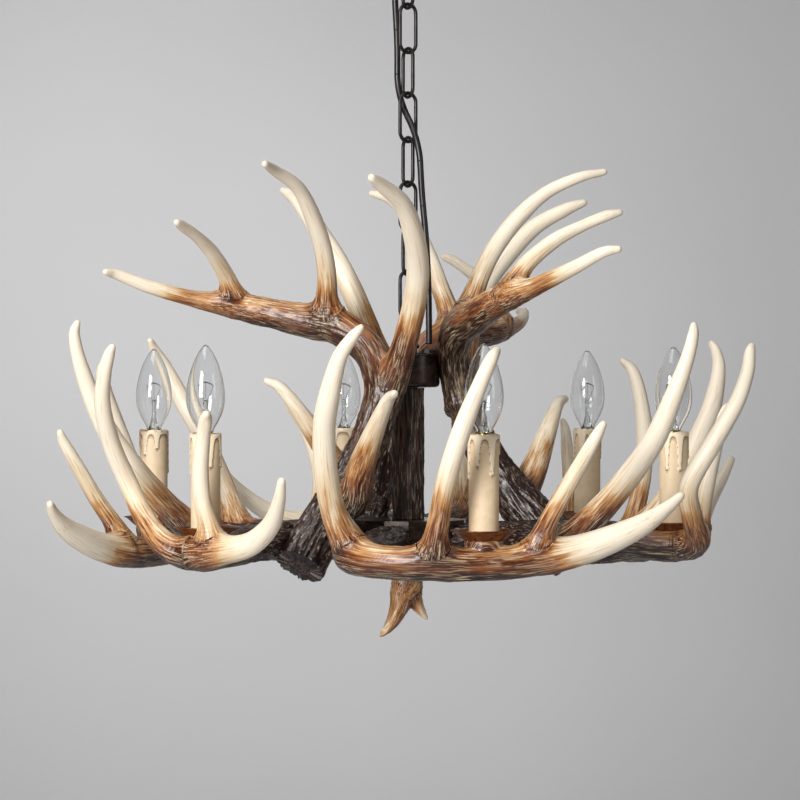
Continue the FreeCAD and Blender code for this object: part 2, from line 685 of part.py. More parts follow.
def main():
    os.makedirs("parts", exist_ok=True)

    save("ceiling_bar", ceiling_bar())
    save("ceiling_canopy", canopy())
    bar_low = -BAR_THICKNESS
    floor_top = CANOPY_FLOOR + CANOPY_WALL
    save("ceiling_nuts", hex_nut(NUT_RADIUS, bar_low - NUT_HEIGHT, NUT_HEIGHT, TUBE_RADIUS),
         hex_nut(NUT_RADIUS, floor_top, NUT_HEIGHT, TUBE_RADIUS))
    save("ceiling_tube", lamp_pipe(CANOPY_FLOOR - NUT_HEIGHT, 0))
    save("ceiling_loop", loop_with_foot(CEILING_LOOP_CENTRE, CHAIN_YAW, CEILING_LOOP_TOP,
                                        CANOPY_FLOOR, CANOPY_FLOOR - NUT_HEIGHT, CANOPY_FLOOR + 1))
    for index in range(LINK_COUNT):
        save("chain_link_%d" % (index + 1), chain_link(index))

    save("supply_cord", cord())
    x, y, _ = CORD_ROUTE[0]
    save("cord_grommet", grommet(x, y, CANOPY_FLOOR, CANOPY_WALL))
    place = gland_place()
    save("cord_gland", grommet(place.x, place.y, LID_TOP, -LID_THICKNESS))

    foot_low = LOOP_FOOT_TOP - LOOP_FOOT_HEIGHT
    pipe_top = LOOP_FOOT_TOP - 1.5
    pipe_low = HUB_TOP - DRUM_HEIGHT - COVER_THICKNESS - 2 * NUT_HEIGHT
    save("fixture_loop", loop_with_foot(FIXTURE_LOOP_CENTRE, link_yaw(LINK_COUNT), foot_low,
                                        LOOP_FOOT_TOP, foot_low - 1, pipe_top))
    save("loop_nut", hex_nut(NUT_RADIUS, LID_TOP, NUT_HEIGHT, TUBE_RADIUS))
    save("cap_lid", cap_lid())
    save("top_cap", top_cap())
    save("lamp_pipe", lamp_pipe(pipe_low, pipe_top))
    save("column", column())
    save("hub_drum", hub_drum())
    save("hub_cover", hub_cover())
    save("hub_nut", hex_nut(NUT_RADIUS, pipe_low + NUT_HEIGHT, NUT_HEIGHT, TUBE_RADIUS))
    save("terminal_block", terminal_block())
    save("finial_antler", finial())
    save("antler_bolts", *[turn(antler_bolt(a), 120 * k) for a in (ROOT_A_ANGLE, ROOT_B_ANGLE)
                           for k in range(3)])

    a_stems = (root_stem(ROOT_A_ANGLE, LOWER_A_STEMS[0]),) + LOWER_A_STEMS[1:]
    b_stems = (root_stem(ROOT_B_ANGLE, LOWER_B_STEMS[0]),) + LOWER_B_STEMS[1:]
    lower_a = lower_antler(a_stems, ROOT_A_ANGLE, CANDLE_A_ANGLE)
    lower_b = lower_antler(b_stems, ROOT_B_ANGLE, CANDLE_B_ANGLE)
    trunks = moved(joined([horn(b_stems[0], SEAT_GAP), horn(b_stems[3], SEAT_GAP)]), z=HUB_TOP)
    upper = antler(UPPER_STEMS).cut(trunks)
    for name, shape in (("lower_antler_a", lower_a), ("lower_antler_b", lower_b),
                        ("upper_antler", upper)):
        for k in range(3):
            save("%s%d" % (name, k + 1), turn(shape, 120 * k))

    save("drip_pans", *at_each_candle(drip_pan))
    save("candle_studs", *at_each_candle(candle_stud))
    save("lamp_holders", *at_each_candle(lamp_holder))
    for name, make in (("candle_sleeve", candle_sleeve), ("lamp_cap", lamp_cap), ("bulb", bulb)):
        for k, shape in enumerate(at_each_candle(make)):
            save("%s_%d" % (name, k + 1), shape)


main()
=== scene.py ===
"""Antler chandelier, dressed: cast antlers, candle lamps, chain, cord and a grey studio corner."""

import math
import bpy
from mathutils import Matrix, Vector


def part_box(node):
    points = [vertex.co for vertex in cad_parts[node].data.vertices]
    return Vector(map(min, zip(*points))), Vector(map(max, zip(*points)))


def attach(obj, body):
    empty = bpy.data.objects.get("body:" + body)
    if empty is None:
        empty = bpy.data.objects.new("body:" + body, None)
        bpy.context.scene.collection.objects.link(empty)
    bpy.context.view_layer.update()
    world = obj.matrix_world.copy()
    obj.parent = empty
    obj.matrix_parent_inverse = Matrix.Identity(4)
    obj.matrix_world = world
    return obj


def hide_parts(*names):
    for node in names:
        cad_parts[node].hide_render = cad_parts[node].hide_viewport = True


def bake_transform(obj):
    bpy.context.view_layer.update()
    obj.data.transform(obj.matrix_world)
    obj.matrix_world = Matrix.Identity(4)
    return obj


bl_info = {
    "name": "Antler Chandelier",
    "version": (1, 0, 0),
    "blender": (4, 5, 0),
    "location": "View3D > Sidebar > Chandelier",
    "description": "Builds the looks of a cast antler chandelier around its solid frame",
    "category": "Object",
}

import bmesh
import bpy
import numpy as np
from mathutils import Matrix, Vector

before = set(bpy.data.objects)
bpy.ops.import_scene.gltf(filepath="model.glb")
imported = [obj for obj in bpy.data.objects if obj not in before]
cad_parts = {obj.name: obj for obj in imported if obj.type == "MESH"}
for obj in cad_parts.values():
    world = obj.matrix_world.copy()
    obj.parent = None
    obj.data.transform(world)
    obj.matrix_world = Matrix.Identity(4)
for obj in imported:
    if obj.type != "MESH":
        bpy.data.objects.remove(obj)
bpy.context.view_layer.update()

MM = 0.001

HUB_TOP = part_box("hub_drum")[1].z
LINK_COUNT = 8
LAMP_COUNT = 6

# Route of the supply cord: millimetres, heights above the hub's top face.
CORD_ROUTE = (
    (-14.0, 15.0, 556.0), (-12.6, 14.6, 537.0), (-12.8, 13.6, 499.0), (-9.8, 14.4, 450.0),
    (-10.5, 15.6, 403.0), (10.6, -15.4, 358.5), (12.8, -12.6, 310.0), (17.0, -10.6, 268.0),
    (19.4, -10.2, 222.0), (19.8, -9.6, 190.0), (20.05, -9.99, 166.0),
)
CORD_DIAMETER = 6.0 * MM

# How the three copies of an antler lean about their foot: the foot in millimetres, then for each
# copy one turn in degrees as a vector along its axis.
UPPER_LEANS = ((-76, -98, -2), ((0, 0, 0), (0, 3.9, 5.2), (-4.4, -6.1, 6.3)))
LOWER_A_LEANS = ((-12.5, -58.7, -19), ((0, 0, 0), (1.3, -0.8, -0.1), (0.8, 2.3, -0.3)))
LOWER_B_LEANS = ((-50.9, -31.8, -19), ((0, 0, 0), (-3, -1.9, -1.9), (-0.6, 0.7, -2)))

# Each antler stem is a run of stations (x, y, height above the hub's top, diameter) in
# millimetres, with the share of bark there: 1 is black bark, 0 is ivory. They are those of the
# copy in front.
UPPER_STEMS = (
    ((-99, -120, -38, 46, 1), (-79, -96, -2, 41, 1), (-58, -77, 33, 36, 0.95),
     (-38, -63, 72, 33, 0.85), (-26, -54, 113, 31, 0.8), (-28, -44, 141, 30, 0.76),
     (-40, -33, 164, 31, 0.72), (-65, -22, 181, 32, 0.68), (-102, -14, 189, 30, 0.6),
     (-140, -8, 197, 26, 0.5), (-199, -12, 208, 16.5, 0.28), (-244, -20, 220, 13, 0.05),
     (-273, -30, 231, 10.5, 0), (-283, -40, 233, 7, 0)),
    ((-53, -82, 18, 30, 0.8), (-46, -104, 28, 27, 0.64), (-43, -121, 50, 25, 0.38),
     (-30, -149, 86, 18, 0.1), (-18, -172, 113, 12, 0.02), (-12, -186, 119, 8, 0)),
    ((-24, -49, 105, 28, 0.76), (-12, -60, 135, 26, 0.66), (-4, -72, 162, 23, 0.46),
     (5, -89, 198, 22, 0.18), (9, -110, 232, 21, 0.04), (5, -137, 263, 19.5, 0),
     (-5, -164, 289, 16.5, 0), (-23, -188, 304, 13, 0), (-32, -203, 310, 8, 0)),
    ((-73, -22, 183, 26, 0.6), (-76, -29, 205, 20, 0.42), (-76, -42, 231, 18, 0.15),
     (-80, -58, 258, 17, 0.04), (-89, -79, 285, 16, 0.01), (-101, -104, 308, 13, 0),
     (-120, -129, 321, 10.5, 0), (-129, -152, 326, 7, 0)),
    ((-155, -6, 201, 22, 0.5), (-163, -10, 212, 17, 0.32), (-172, -24, 232, 15.5, 0.11),
     (-184, -47, 252, 14, 0.03), (-196, -71, 265, 11, 0.01), (-207, -89, 273, 10.5, 0),
     (-212, -101, 276, 7, 0)),
)
LOWER_A_STEMS = (
    ((-10.6, -49.9, -19, 27, 1), (-14.1, -66.5, -19, 29, 1), (-19.5, -91.9, -19, 32, 1),
     (-36, -171, -24, 36, 0.92), (-50, -217, -22, 32, 0.64), (-34, -245, -26, 29, 0.56),
     (-8, -256, -28, 28, 0.58), (23, -258, -29, 28, 0.62), (66, -253, -29, 28, 0.58),
     (115, -248, -25, 28, 0.44), (150, -249, -17, 27, 0.08), (180, -250, -6, 24, 0),
     (205, -250, 6, 19, 0), (226, -246, 20, 12, 0), (238, -241, 30, 8, 0)),
    ((-46, -219, -22, 30, 0.54), (-64, -245, 14, 23, 0.24), (-71, -267, 54, 21, 0.07),
     (-72, -285, 88, 20, 0.02), (-68, -300, 114, 19, 0), (-59, -313, 148, 14, 0),
     (-47, -318, 167, 10.5, 0), (-40, -317, 175, 7, 0)),
    ((20, -257, -28, 24, 0.62), (25, -274, 2, 19, 0.44), (33, -289, 45, 18, 0.1),
     (46, -298, 88, 17, 0.02), (61, -301, 126, 14, 0), (71, -298, 148, 12, 0),
     (76, -290, 156, 8, 0)),
    ((108, -247, -24, 22, 0.58), (119, -257, 4, 16, 0.44), (131, -266, 27, 15, 0.18),
     (153, -275, 66, 13, 0.05), (163, -279, 84, 10.5, 0.01), (168, -279, 93, 7, 0)),
)
LOWER_B_STEMS = (
    ((-43.3, -27, -19, 27, 1), (-57.7, -36, -19, 29, 1), (-79.7, -49.8, -19, 32, 1),
     (-112, -94, -16, 33, 0.97), (-138, -131, -17, 31, 0.9), (-161, -157, -22, 29, 0.74),
     (-182, -179, -24, 28, 0.6), (-180, -203, -22, 27, 0.46), (-160, -220, -19, 24, 0.18),
     (-137, -237, -12, 21, 0.04), (-119, -260, 5, 17, 0), (-111, -282, 26, 12, 0),
     (-108, -296, 44, 8, 0)),
    ((-179, -195, -23, 24, 0.47), (-175, -213, -4, 18, 0.22), (-181, -218, 26, 16, 0.07),
     (-182, -225, 52, 15, 0.02), (-179, -236, 79, 13, 0), (-176, -247, 97, 12, 0),
     (-175, -254, 101, 8, 0)),
    ((-187, -187, -24, 28, 0.54), (-214, -186, -17, 23, 0.45), (-236, -166, 8, 19, 0.24),
     (-251, -154, 37, 18, 0.08), (-265, -170, 73, 17, 0.02), (-271, -193, 109, 15, 0),
     (-268, -208, 136, 13, 0), (-263, -215, 154, 10.5, 0), (-260, -219, 160, 7, 0)),
    ((-84, -60, -17, 31, 1), (-118, -61, -19, 32, 0.97), (-160, -61, -17, 31, 0.88),
     (-198, -61, -7, 28, 0.7), (-225, -74, 17, 24, 0.38), (-251, -90, 49, 22, 0.08),
     (-274, -104, 83, 20, 0.02), (-290, -114, 120, 17, 0), (-300, -123, 153, 13, 0),
     (-303, -128, 174, 10.5, 0), (-300, -131, 183, 7, 0)),
)
FINIAL_STEMS = (
    ((0, 0, -44, 26, 0.72), (-2, 0, -59, 25, 0.42), (-7, -3, -72, 16, 0.36),
     (-10, -5, -86, 14, 0.34), (-15, -7, -97, 11.5, 0.32), (-22, -8, -106, 8, 0.3),
     (-27, -9, -110, 3, 0.3)),
    ((2, 2, -52, 16, 0.3), (7, 5, -66, 11, 0.2), (9, 7, -78, 9, 0.12), (14, 9, -89, 7, 0.1),
     (18, 10, -95, 3, 0.1)),
    ((-3, 3, -56, 18, 0.4), (-6, 9, -74, 12, 0.35), (-8, 13, -88, 9, 0.3), (-9, 15, -97, 4, 0.3)),
)


# ---------------------------------------------------------------- colours and nodes

def linear(code):
    """An sRGB hex colour as linear red, green, blue, alpha."""
    channels = []
    for k in (0, 2, 4):
        c = int(code[k:k + 2], 16) / 255
        channels.append(c / 12.92 if c <= 0.04045 else ((c + 0.055) / 1.055) ** 2.4)
    return (*channels, 1.0)


def colour_prop(name, description, code):
    """A colour that a user may change."""
    return bpy.props.FloatVectorProperty(name=name, description=description, size=4,
                                         subtype="COLOR", min=0, max=1, default=linear(code))


def length_prop(name, description, default):
    """A length in metres that a user may change."""
    return bpy.props.FloatProperty(name=name, description=description, default=default,
                                   min=0.00001, subtype="DISTANCE", unit="LENGTH")


class AntlerSettings(bpy.types.PropertyGroup):
    """Sizes and colours of the cast antlers."""

    mesh_step: length_prop("Mesh step", "Width of one face of the antler skin", 1.3 * MM)
    rib_depth: length_prop("Rib depth", "Depth of the grooves in the bark", 1.1 * MM)
    web: length_prop("Web", "How far the skin fills the corner of a fork", 7.0 * MM)
    rib_width: length_prop("Rib width", "Distance between two grooves", 3.6 * MM)
    ivory: colour_prop("Ivory", "Tips of the tines", "EDE0CA")
    cream: colour_prop("Cream", "Lower part of the tines", "DCC6A4")
    honey: colour_prop("Honey", "Where the ivory turns to bark", "B5824C")
    tawny: colour_prop("Tawny", "Foot of each tine", "7C441F")
    russet: colour_prop("Russet", "Beams", "482311")
    umber: colour_prop("Umber", "Roots and trunks", "25140F")
    thread: colour_prop("Thread", "Pale lines along the beams", "D8BE9A")
    chalk: colour_prop("Chalk", "Pale flecks on the roots", "A39282")


class MetalSettings(bpy.types.PropertyGroup):
    """Colours of the metal pieces."""

    chain: colour_prop("Chain", "Blackened steel of the chain", "2B2828")
    cup: colour_prop("Cup", "Dark bronze paint of cap and canopy", "241C18")
    pan: colour_prop("Pan", "Rust-brown bronze of the drip pans", "7C4A26")
    zinc: colour_prop("Zinc", "Nuts, tubes and bolts", "A7A59F")
    brass: colour_prop("Brass", "Screw caps of the lamps", "C9A660")


class CandleSettings(bpy.types.PropertyGroup):
    """Sizes and colours of the candle sleeves."""

    wax: colour_prop("Wax", "Body of the sleeve", "E4CCAA")
    drip: colour_prop("Drip", "Raised wax runs", "EEDCBE")
    stain: colour_prop("Stain", "Brown line round the wax runs", "5E3A1F")
    drip_height: length_prop("Drip height", "How far the wax runs stand out", 1.1 * MM)


class StageSettings(bpy.types.PropertyGroup):
    """The studio corner and its light."""

    paper: colour_prop("Paper", "Backdrop and floor", "C2C1C2")
    floor_drop: length_prop("Floor drop", "Distance from the camera's height to the floor", 0.95)
    wall_distance: length_prop("Wall distance", "Distance of the wall behind the object", 2.5)
    lens: bpy.props.FloatProperty(name="Lens", description="Focal length in millimetres",
                                  default=141.6, min=10, subtype="DISTANCE_CAMERA")


def group(name):
    """One of this add-on's setting groups on the scene."""
    return getattr(bpy.context.scene, name)


def new_material(name):
    """An empty node material with its surface shader."""
    material = bpy.data.materials.new(name)
    material.use_nodes = True
    tree = material.node_tree
    tree.nodes.clear()
    surface = tree.nodes.new("ShaderNodeBsdfPrincipled")
    output = tree.nodes.new("ShaderNodeOutputMaterial")
    tree.links.new(surface.outputs["BSDF"], output.inputs["Surface"])
    return material, tree, surface


def add(tree, kind, links=None, values=None, **settings):
    """A node with its settings, its socket values and its links."""
    node = tree.nodes.new(kind)
    for name, value in settings.items():
        setattr(node, name, value)
    for key, value in (values or {}).items():
        node.inputs[key].default_value = value
    for key, socket in (links or {}).items():
        tree.links.new(socket, node.inputs[key])
    return node


def set_surface(surface, **values):
    """Constant values on the shader's own sockets."""
    for name, value in values.items():
        surface.inputs[name.replace("_", " ")].default_value = value


def blend_colours(tree, factor, first, second, mode="MIX"):
    """A mix of two colours, each a socket or a fixed value; returns the result's socket."""
    node = add(tree, "ShaderNodeMix", data_type="RGBA", blend_type=mode)
    for index, item in ((0, factor), (6, first), (7, second)):
        if isinstance(item, bpy.types.NodeSocket):
            tree.links.new(item, node.inputs[index])
        else:
            node.inputs[index].default_value = item
    return node.outputs[2]


def ramp(tree, source, stops, smooth=True):
    """A colour ramp over a socket; stops are (position, colour)."""
    node = add(tree, "ShaderNodeValToRGB", links={"Fac": source})
    node.color_ramp.interpolation = "EASE" if smooth else "LINEAR"
    elements = node.color_ramp.elements
    while len(elements) < len(stops):
        elements.new(0.5)
    for element, (position, colour) in zip(elements, stops):
        element.position = position
        element.color = colour
    return node.outputs["Color"]


def reach(tree, source, low, high, to_low=0.0, to_high=1.0):
    """A smooth step of a socket between two levels."""
    node = add(tree, "ShaderNodeMapRange", links={"Value": source}, interpolation_type="SMOOTHSTEP",
               values={"From Min": low, "From Max": high, "To Min": to_low, "To Max": to_high})
    return node.outputs["Result"]


def bump(tree, surface, height, strength, distance):
    """Fine relief on the shader's normal."""
    node = add(tree, "ShaderNodeBump", links={"Height": height},
               values={"Strength": strength, "Distance": distance})
    tree.links.new(node.outputs["Normal"], surface.inputs["Normal"])


def noise(tree, vector, step, detail=3.0, roughness=0.55, stretch=(1, 1, 1)):
    """Noise whose grain has the given size in metres, on a vector in metres."""
    scaled = add(tree, "ShaderNodeVectorMath", operation="MULTIPLY", links={0: vector},
                 values={1: [s / step for s in stretch]})
    node = add(tree, "ShaderNodeTexNoise", links={"Vector": scaled.outputs[0]},
               values={"Scale": 1.0, "Detail": detail, "Roughness": roughness})
    return node.outputs["Fac"]


def object_place(tree):
    """The point on the piece, in metres."""
    return add(tree, "ShaderNodeTexCoord").outputs["Object"]


# ---------------------------------------------------------------- materials

def cast_resin_antler():
    """Cast polyester resin, hand painted and waxed.

    Ivory and satin on the tines with faint streaks along them, honey where they leave the beam,
    then glossy red-brown with pale threads along the beam, and black-brown with short chalky
    flecks towards the root. The brown is darker on faces turned down and lighter on faces turned
    up: painted shade and light, with some darker wash underneath.
    """
    look = group("antler_settings")
    material, tree, surface = new_material("cast_resin_hand_painted")
    grain = add(tree, "ShaderNodeAttribute", attribute_name="grain").outputs["Vector"]
    bark = add(tree, "ShaderNodeAttribute", attribute_name="bark").outputs["Fac"]
    relief = add(tree, "ShaderNodeAttribute", attribute_name="relief").outputs["Fac"]
    under = add(tree, "ShaderNodeAttribute", attribute_name="under").outputs["Fac"]

    # Brush streaks about 1.6 mm wide and 50 mm long, threads of 0.65 by 19 mm, clouds of 20 by
    # 50 mm and flecks of 1.3 by 6 mm.
    streak = noise(tree, grain, 1.6 * MM, 3, 0.6, (1, 1, 0.03))
    hair = noise(tree, grain, 0.65 * MM, 2, 0.5, (1, 1, 0.035))
    cloud = noise(tree, grain, 20 * MM, 3, 0.5, (1, 1, 0.4))
    fleck = noise(tree, grain, 1.3 * MM, 4, 0.65, (1, 1, 0.2))

    # How deep the brown wash lies: ragged along the grain where it fades out.
    ragged = add(tree, "ShaderNodeMath", operation="MULTIPLY_ADD", links={0: streak},
                 values={1: 0.8, 2: -0.4}).outputs[0]
    ragged = add(tree, "ShaderNodeMath", operation="MULTIPLY_ADD", links={0: cloud, 2: ragged},
                 values={1: 0.9}).outputs[0]
    ragged = add(tree, "ShaderNodeMath", operation="SUBTRACT", links={0: ragged},
                 values={1: 0.45}).outputs[0]
    share = reach(tree, bark, 0.0, 0.35, 0.2, 1.0)
    level = add(tree, "ShaderNodeMath", operation="MULTIPLY_ADD",
                links={0: ragged, 1: share, 2: bark}).outputs[0]
    # Painted shade and light: darker on faces turned down, lighter on faces turned up, with some
    # darker wash underneath.
    facing_shade_and_wash = add(tree, "ShaderNodeMath", operation="MULTIPLY", links={0: under, 1: bark})
    level = add(tree, "ShaderNodeMath", operation="MULTIPLY_ADD",
                links={0: facing_shade_and_wash.outputs[0], 2: level}, values={1: 0.5}).outputs[0]
    base = ramp(tree, level, ((0.02, look.ivory), (0.14, look.cream), (0.28, look.honey),
                              (0.44, look.tawny), (0.62, look.russet), (0.88, look.umber)))

    # Grooves filled with dark wash, hardly seen on the tines.
    groove = reach(tree, relief, 0.4, 0.12)
    depth = reach(tree, bark, 0.05, 0.5, 0.12, 0.75)
    wash = add(tree, "ShaderNodeMath", operation="MULTIPLY", links={0: groove, 1: depth}).outputs[0]
    dark = blend_colours(tree, 1.0, base, linear("7A5444"), "MULTIPLY")
    washed = blend_colours(tree, wash, base, dark)

    # Worn ridges: long pale threads in patches on the beam, short chalky flecks near the root.
    ridge = reach(tree, relief, 0.42, 0.72)
    rooty = reach(tree, bark, ROOT_BARK, ROOT_BARK + ROOT_BARK_SPAN)
    patchy = reach(tree, cloud, 0.35, 0.6, 0.35, 1.0)
    thread = add(tree, "ShaderNodeMath", operation="MULTIPLY",
                 links={0: reach(tree, hair, 0.52, 0.6), 1: patchy}).outputs[0]
    short = reach(tree, fleck, 0.53, 0.62)
    line = add(tree, "ShaderNodeMix", data_type="FLOAT",
               links={0: rooty, 2: thread, 3: short}).outputs[0]
    worn = add(tree, "ShaderNodeMath", operation="MULTIPLY", links={0: ridge, 1: line}).outputs[0]
    on_bark = reach(tree, bark, 0.1, 0.4, 0.0, 0.75)
    worn = add(tree, "ShaderNodeMath", operation="MULTIPLY", links={0: worn, 1: on_bark}).outputs[0]
    pale = blend_colours(tree, rooty, look.thread, look.chalk)
    painted = blend_colours(tree, worn, washed, pale)

    # Thin tan hairs on the ivory.
    faint = reach(tree, streak, 0.54, 0.74, 0.0, 0.5)
    tan = blend_colours(tree, 1.0, painted, linear("D2AE7C"), "MULTIPLY")
    final = blend_colours(tree, faint, painted, tan)
    tree.links.new(final, surface.inputs["Base Color"])
    tree.links.new(reach(tree, bark, 0.1, 0.6, 0.42, 0.33), surface.inputs["Roughness"])
    set_surface(surface, IOR=1.52, Specular_IOR_Level=0.5)
    bump(tree, surface, fleck, 0.3, 0.2 * MM)
    return material


def cast_resin_bark():
    """Cast resin bark of the column: near black, with russet flanks and chalky ridges."""
    look = group("antler_settings")
    material, tree, surface = new_material("cast_resin_bark")
    place = object_place(tree)
    relief = add(tree, "ShaderNodeAttribute", attribute_name="relief").outputs["Fac"]
    fleck = noise(tree, place, 1.3 * MM, 4, 0.65, (1, 1, 0.06))
    cloud = noise(tree, place, 6 * MM, 3, 0.5, (1, 1, 0.1))
    base = ramp(tree, cloud, ((0.36, linear("1F1512")), (0.52, linear("382119")),
                              (0.68, linear("643722"))))
    ridge = reach(tree, relief, 0.55, 0.85)
    broken = reach(tree, fleck, 0.5, 0.6)
    worn = add(tree, "ShaderNodeMath", operation="MULTIPLY", links={0: ridge, 1: broken}).outputs[0]
    worn = add(tree, "ShaderNodeMath", operation="MULTIPLY", links={0: worn},
               values={1: 0.85}).outputs[0]
    painted = blend_colours(tree, worn, base, look.chalk)
    groove = reach(tree, relief, 0.45, 0.1)
    final = blend_colours(tree, groove, painted, linear("0E0A09"))
    tree.links.new(final, surface.inputs["Base Color"])
    set_surface(surface, IOR=1.52, Roughness=0.5)
    bump(tree, surface, fleck, 0.4, 0.3 * MM)
    return material


def blackened_steel():
    """Blackened and lacquered steel wire: near black, with soft long highlights."""
    material, tree, surface = new_material("blackened_steel_lacquered")
    place = object_place(tree)
    patch = noise(tree, place, 6 * MM, 3)
    base = ramp(tree, patch, ((0.35, group("metal_settings").chain), (0.75, linear("45403D"))))
    tree.links.new(base, surface.inputs["Base Color"])
    tree.links.new(reach(tree, patch, 0.3, 0.7, 0.28, 0.42), surface.inputs["Roughness"])
    set_surface(surface, Metallic=0.85)
    bump(tree, surface, noise(tree, place, 0.8 * MM, 2), 0.15, 0.05 * MM)
    return material


def painted_dark_bronze():
    """Spun steel, sprayed dark bronze: satin, with brown edges where the paint is thin."""
    material, tree, surface = new_material("spun_steel_sprayed_bronze")
    place = object_place(tree)
    cloud = noise(tree, place, 18 * MM, 4, 0.6, (1, 1, 2.2))
    base = ramp(tree, cloud, ((0.4, group("metal_settings").cup), (0.72, linear("4A332A"))))
    tree.links.new(base, surface.inputs["Base Color"])
    tree.links.new(reach(tree, cloud, 0.3, 0.75, 0.22, 0.36), surface.inputs["Roughness"])
    set_surface(surface, Metallic=0.5, Coat_Weight=0.2, Coat_Roughness=0.24)
    bump(tree, surface, noise(tree, place, 0.6 * MM, 2), 0.1, 0.04 * MM)
    return material


def patinated_bronze():
    """Spun dish in rust-brown patinated bronze: warm and soft, blotched like old iron."""
    material, tree, surface = new_material("spun_bronze_patinated")
    place = object_place(tree)
    blotch = noise(tree, place, 5 * MM, 5, 0.65)
    base = ramp(tree, blotch, ((0.32, linear("3D2214")), (0.5, group("metal_settings").pan),
                               (0.72, linear("A86F3C"))))
    tree.links.new(base, surface.inputs["Base Color"])
    tree.links.new(reach(tree, blotch, 0.3, 0.7, 0.5, 0.34), surface.inputs["Roughness"])
    set_surface(surface, Metallic=0.7)
    bump(tree, surface, blotch, 0.2, 0.15 * MM)
    return material


def zinc_plated_steel():
    """Turned steel, zinc plated: dull silver with a faint grain."""
    material, tree, surface = new_material("turned_steel_zinc_plated")
    place = object_place(tree)
    grain = noise(tree, place, 2.5 * MM, 3, 0.5, (1, 1, 6))
    base = ramp(tree, grain, ((0.3, group("metal_settings").zinc), (0.8, linear("CFCDC6"))))
    tree.links.new(base, surface.inputs["Base Color"])
    tree.links.new(reach(tree, grain, 0.3, 0.7, 0.3, 0.45), surface.inputs["Roughness"])
    set_surface(surface, Metallic=1.0)
    return material


def pressed_brass():
    """Pressed brass lamp cap: warm yellow metal, bright on the thread's crests."""
    material, tree, surface = new_material("pressed_brass")
    patch = noise(tree, object_place(tree), 4 * MM, 3)
    base = ramp(tree, patch, ((0.3, group("metal_settings").brass), (0.8, linear("9A7A3C"))))
    tree.links.new(base, surface.inputs["Base Color"])
    set_surface(surface, Metallic=1.0, Roughness=0.28)
    return material


def extruded_pvc():
    """Extruded black PVC cord: even and softly shiny."""
    material, tree, surface = new_material("extruded_pvc")
    ripple = noise(tree, object_place(tree), 5 * MM, 2, 0.5, (1, 1, 0.4))
    base = ramp(tree, ripple, ((0.3, linear("141211")), (0.8, linear("262120"))))
    tree.links.new(base, surface.inputs["Base Color"])
    tree.links.new(reach(tree, ripple, 0.3, 0.7, 0.3, 0.42), surface.inputs["Roughness"])
    set_surface(surface, IOR=1.53)
    return material


def moulded_phenolic(name, code, rough):
    """Moulded phenolic or nylon: plain, slightly mottled, with a soft sheen."""
    material, tree, surface = new_material(name)
    patch = noise(tree, object_place(tree), 3 * MM, 2)
    plain = linear(code)
    light = tuple(min(1.0, c * 1.3 + 0.004) for c in plain[:3]) + (1.0,)
    tree.links.new(ramp(tree, patch, ((0.3, plain), (0.8, light))), surface.inputs["Base Color"])
    set_surface(surface, IOR=1.55, Roughness=rough)
    return material


def waxed_card():
    """Card tube dipped in resin wax: cream, satin, with raised runs edged by brown glaze."""
    look = group("candle_settings")
    material, tree, surface = new_material("waxed_card_glazed")
    place = object_place(tree)
    raised = add(tree, "ShaderNodeAttribute", attribute_name="raised").outputs["Fac"]
    stain = add(tree, "ShaderNodeAttribute", attribute_name="stain").outputs["Fac"]
    cloud = noise(tree, place, 9 * MM, 4, 0.6)
    body = blend_colours(tree, reach(tree, cloud, 0.42, 0.7, 0.0, 0.4), look.wax,
                         linear("CFB48A"))
    waxy = blend_colours(tree, raised, body, look.drip)
    final = blend_colours(tree, stain, waxy, look.stain)
    tree.links.new(final, surface.inputs["Base Color"])
    tree.links.new(reach(tree, raised, 0.0, 1.0, 0.5, 0.34), surface.inputs["Roughness"])
    set_surface(surface, IOR=1.45, Subsurface_Weight=0.08, Subsurface_Scale=2 * MM)
    bump(tree, surface, noise(tree, place, 1.6 * MM, 3), 0.12, 0.1 * MM)
    return material


def blown_glass(name, tint):
    """Blown soda glass: clear, with a slight grey edge and sharp highlights."""
    material, _, surface = new_material(name)
    set_surface(surface, Base_Color=linear(tint), Roughness=0.0, IOR=1.5, Transmission_Weight=1.0)
    return material


def drawn_tungsten():
    """Drawn tungsten and nickel wire: thin, grey and dull."""
    material, tree, surface = new_material("drawn_tungsten")
    patch = noise(tree, object_place(tree), 2 * MM, 2)
    base = ramp(tree, patch, ((0.3, linear("6E6C68")), (0.8, linear("94918B"))))
    tree.links.new(base, surface.inputs["Base Color"])
    set_surface(surface, Metallic=1.0, Roughness=0.4)
    return material


def seamless_paper():
    """Seamless studio paper, matt, with the faintest unevenness, and clear from its back.

    Whoever looks from behind the wall or from under the floor sees the object through it.
    """
    material, tree, surface = new_material("seamless_paper")
    cloud = noise(tree, object_place(tree), 0.5, 2)
    paper = group("stage_settings").paper
    darker = tuple(c * 0.97 for c in paper[:3]) + (1.0,)
    tree.links.new(ramp(tree, cloud, ((0.3, paper), (0.8, darker))), surface.inputs["Base Color"])
    set_surface(surface, Roughness=0.9, Specular_IOR_Level=0.2)
    back = add(tree, "ShaderNodeNewGeometry").outputs["Backfacing"]
    clear = add(tree, "ShaderNodeBsdfTransparent").outputs[0]
    sides = add(tree, "ShaderNodeMixShader", links={0: back, 1: surface.outputs[0], 2: clear})
    tree.links.new(sides.outputs[0], tree.nodes["Material Output"].inputs["Surface"])
    return material


_made = {}


def finish_of(make, *arguments):
    """The material of a finish, made once."""
    key = (make.__name__, *arguments)
    if key not in _made:
        _made[key] = make(*arguments)
    return _made[key]


# ---------------------------------------------------------------- mesh helpers

def object_from(name, points, faces, smooth=True):
    """A mesh object from points and faces."""
    mesh = bpy.data.meshes.new(name)
    mesh.from_pydata([tuple(p) for p in points], [], faces)
    mesh.validate()
    mesh.update()
    piece = bpy.data.objects.new(name, mesh)
    bpy.context.scene.collection.objects.link(piece)
    if smooth:
        mesh.shade_smooth()
    return piece


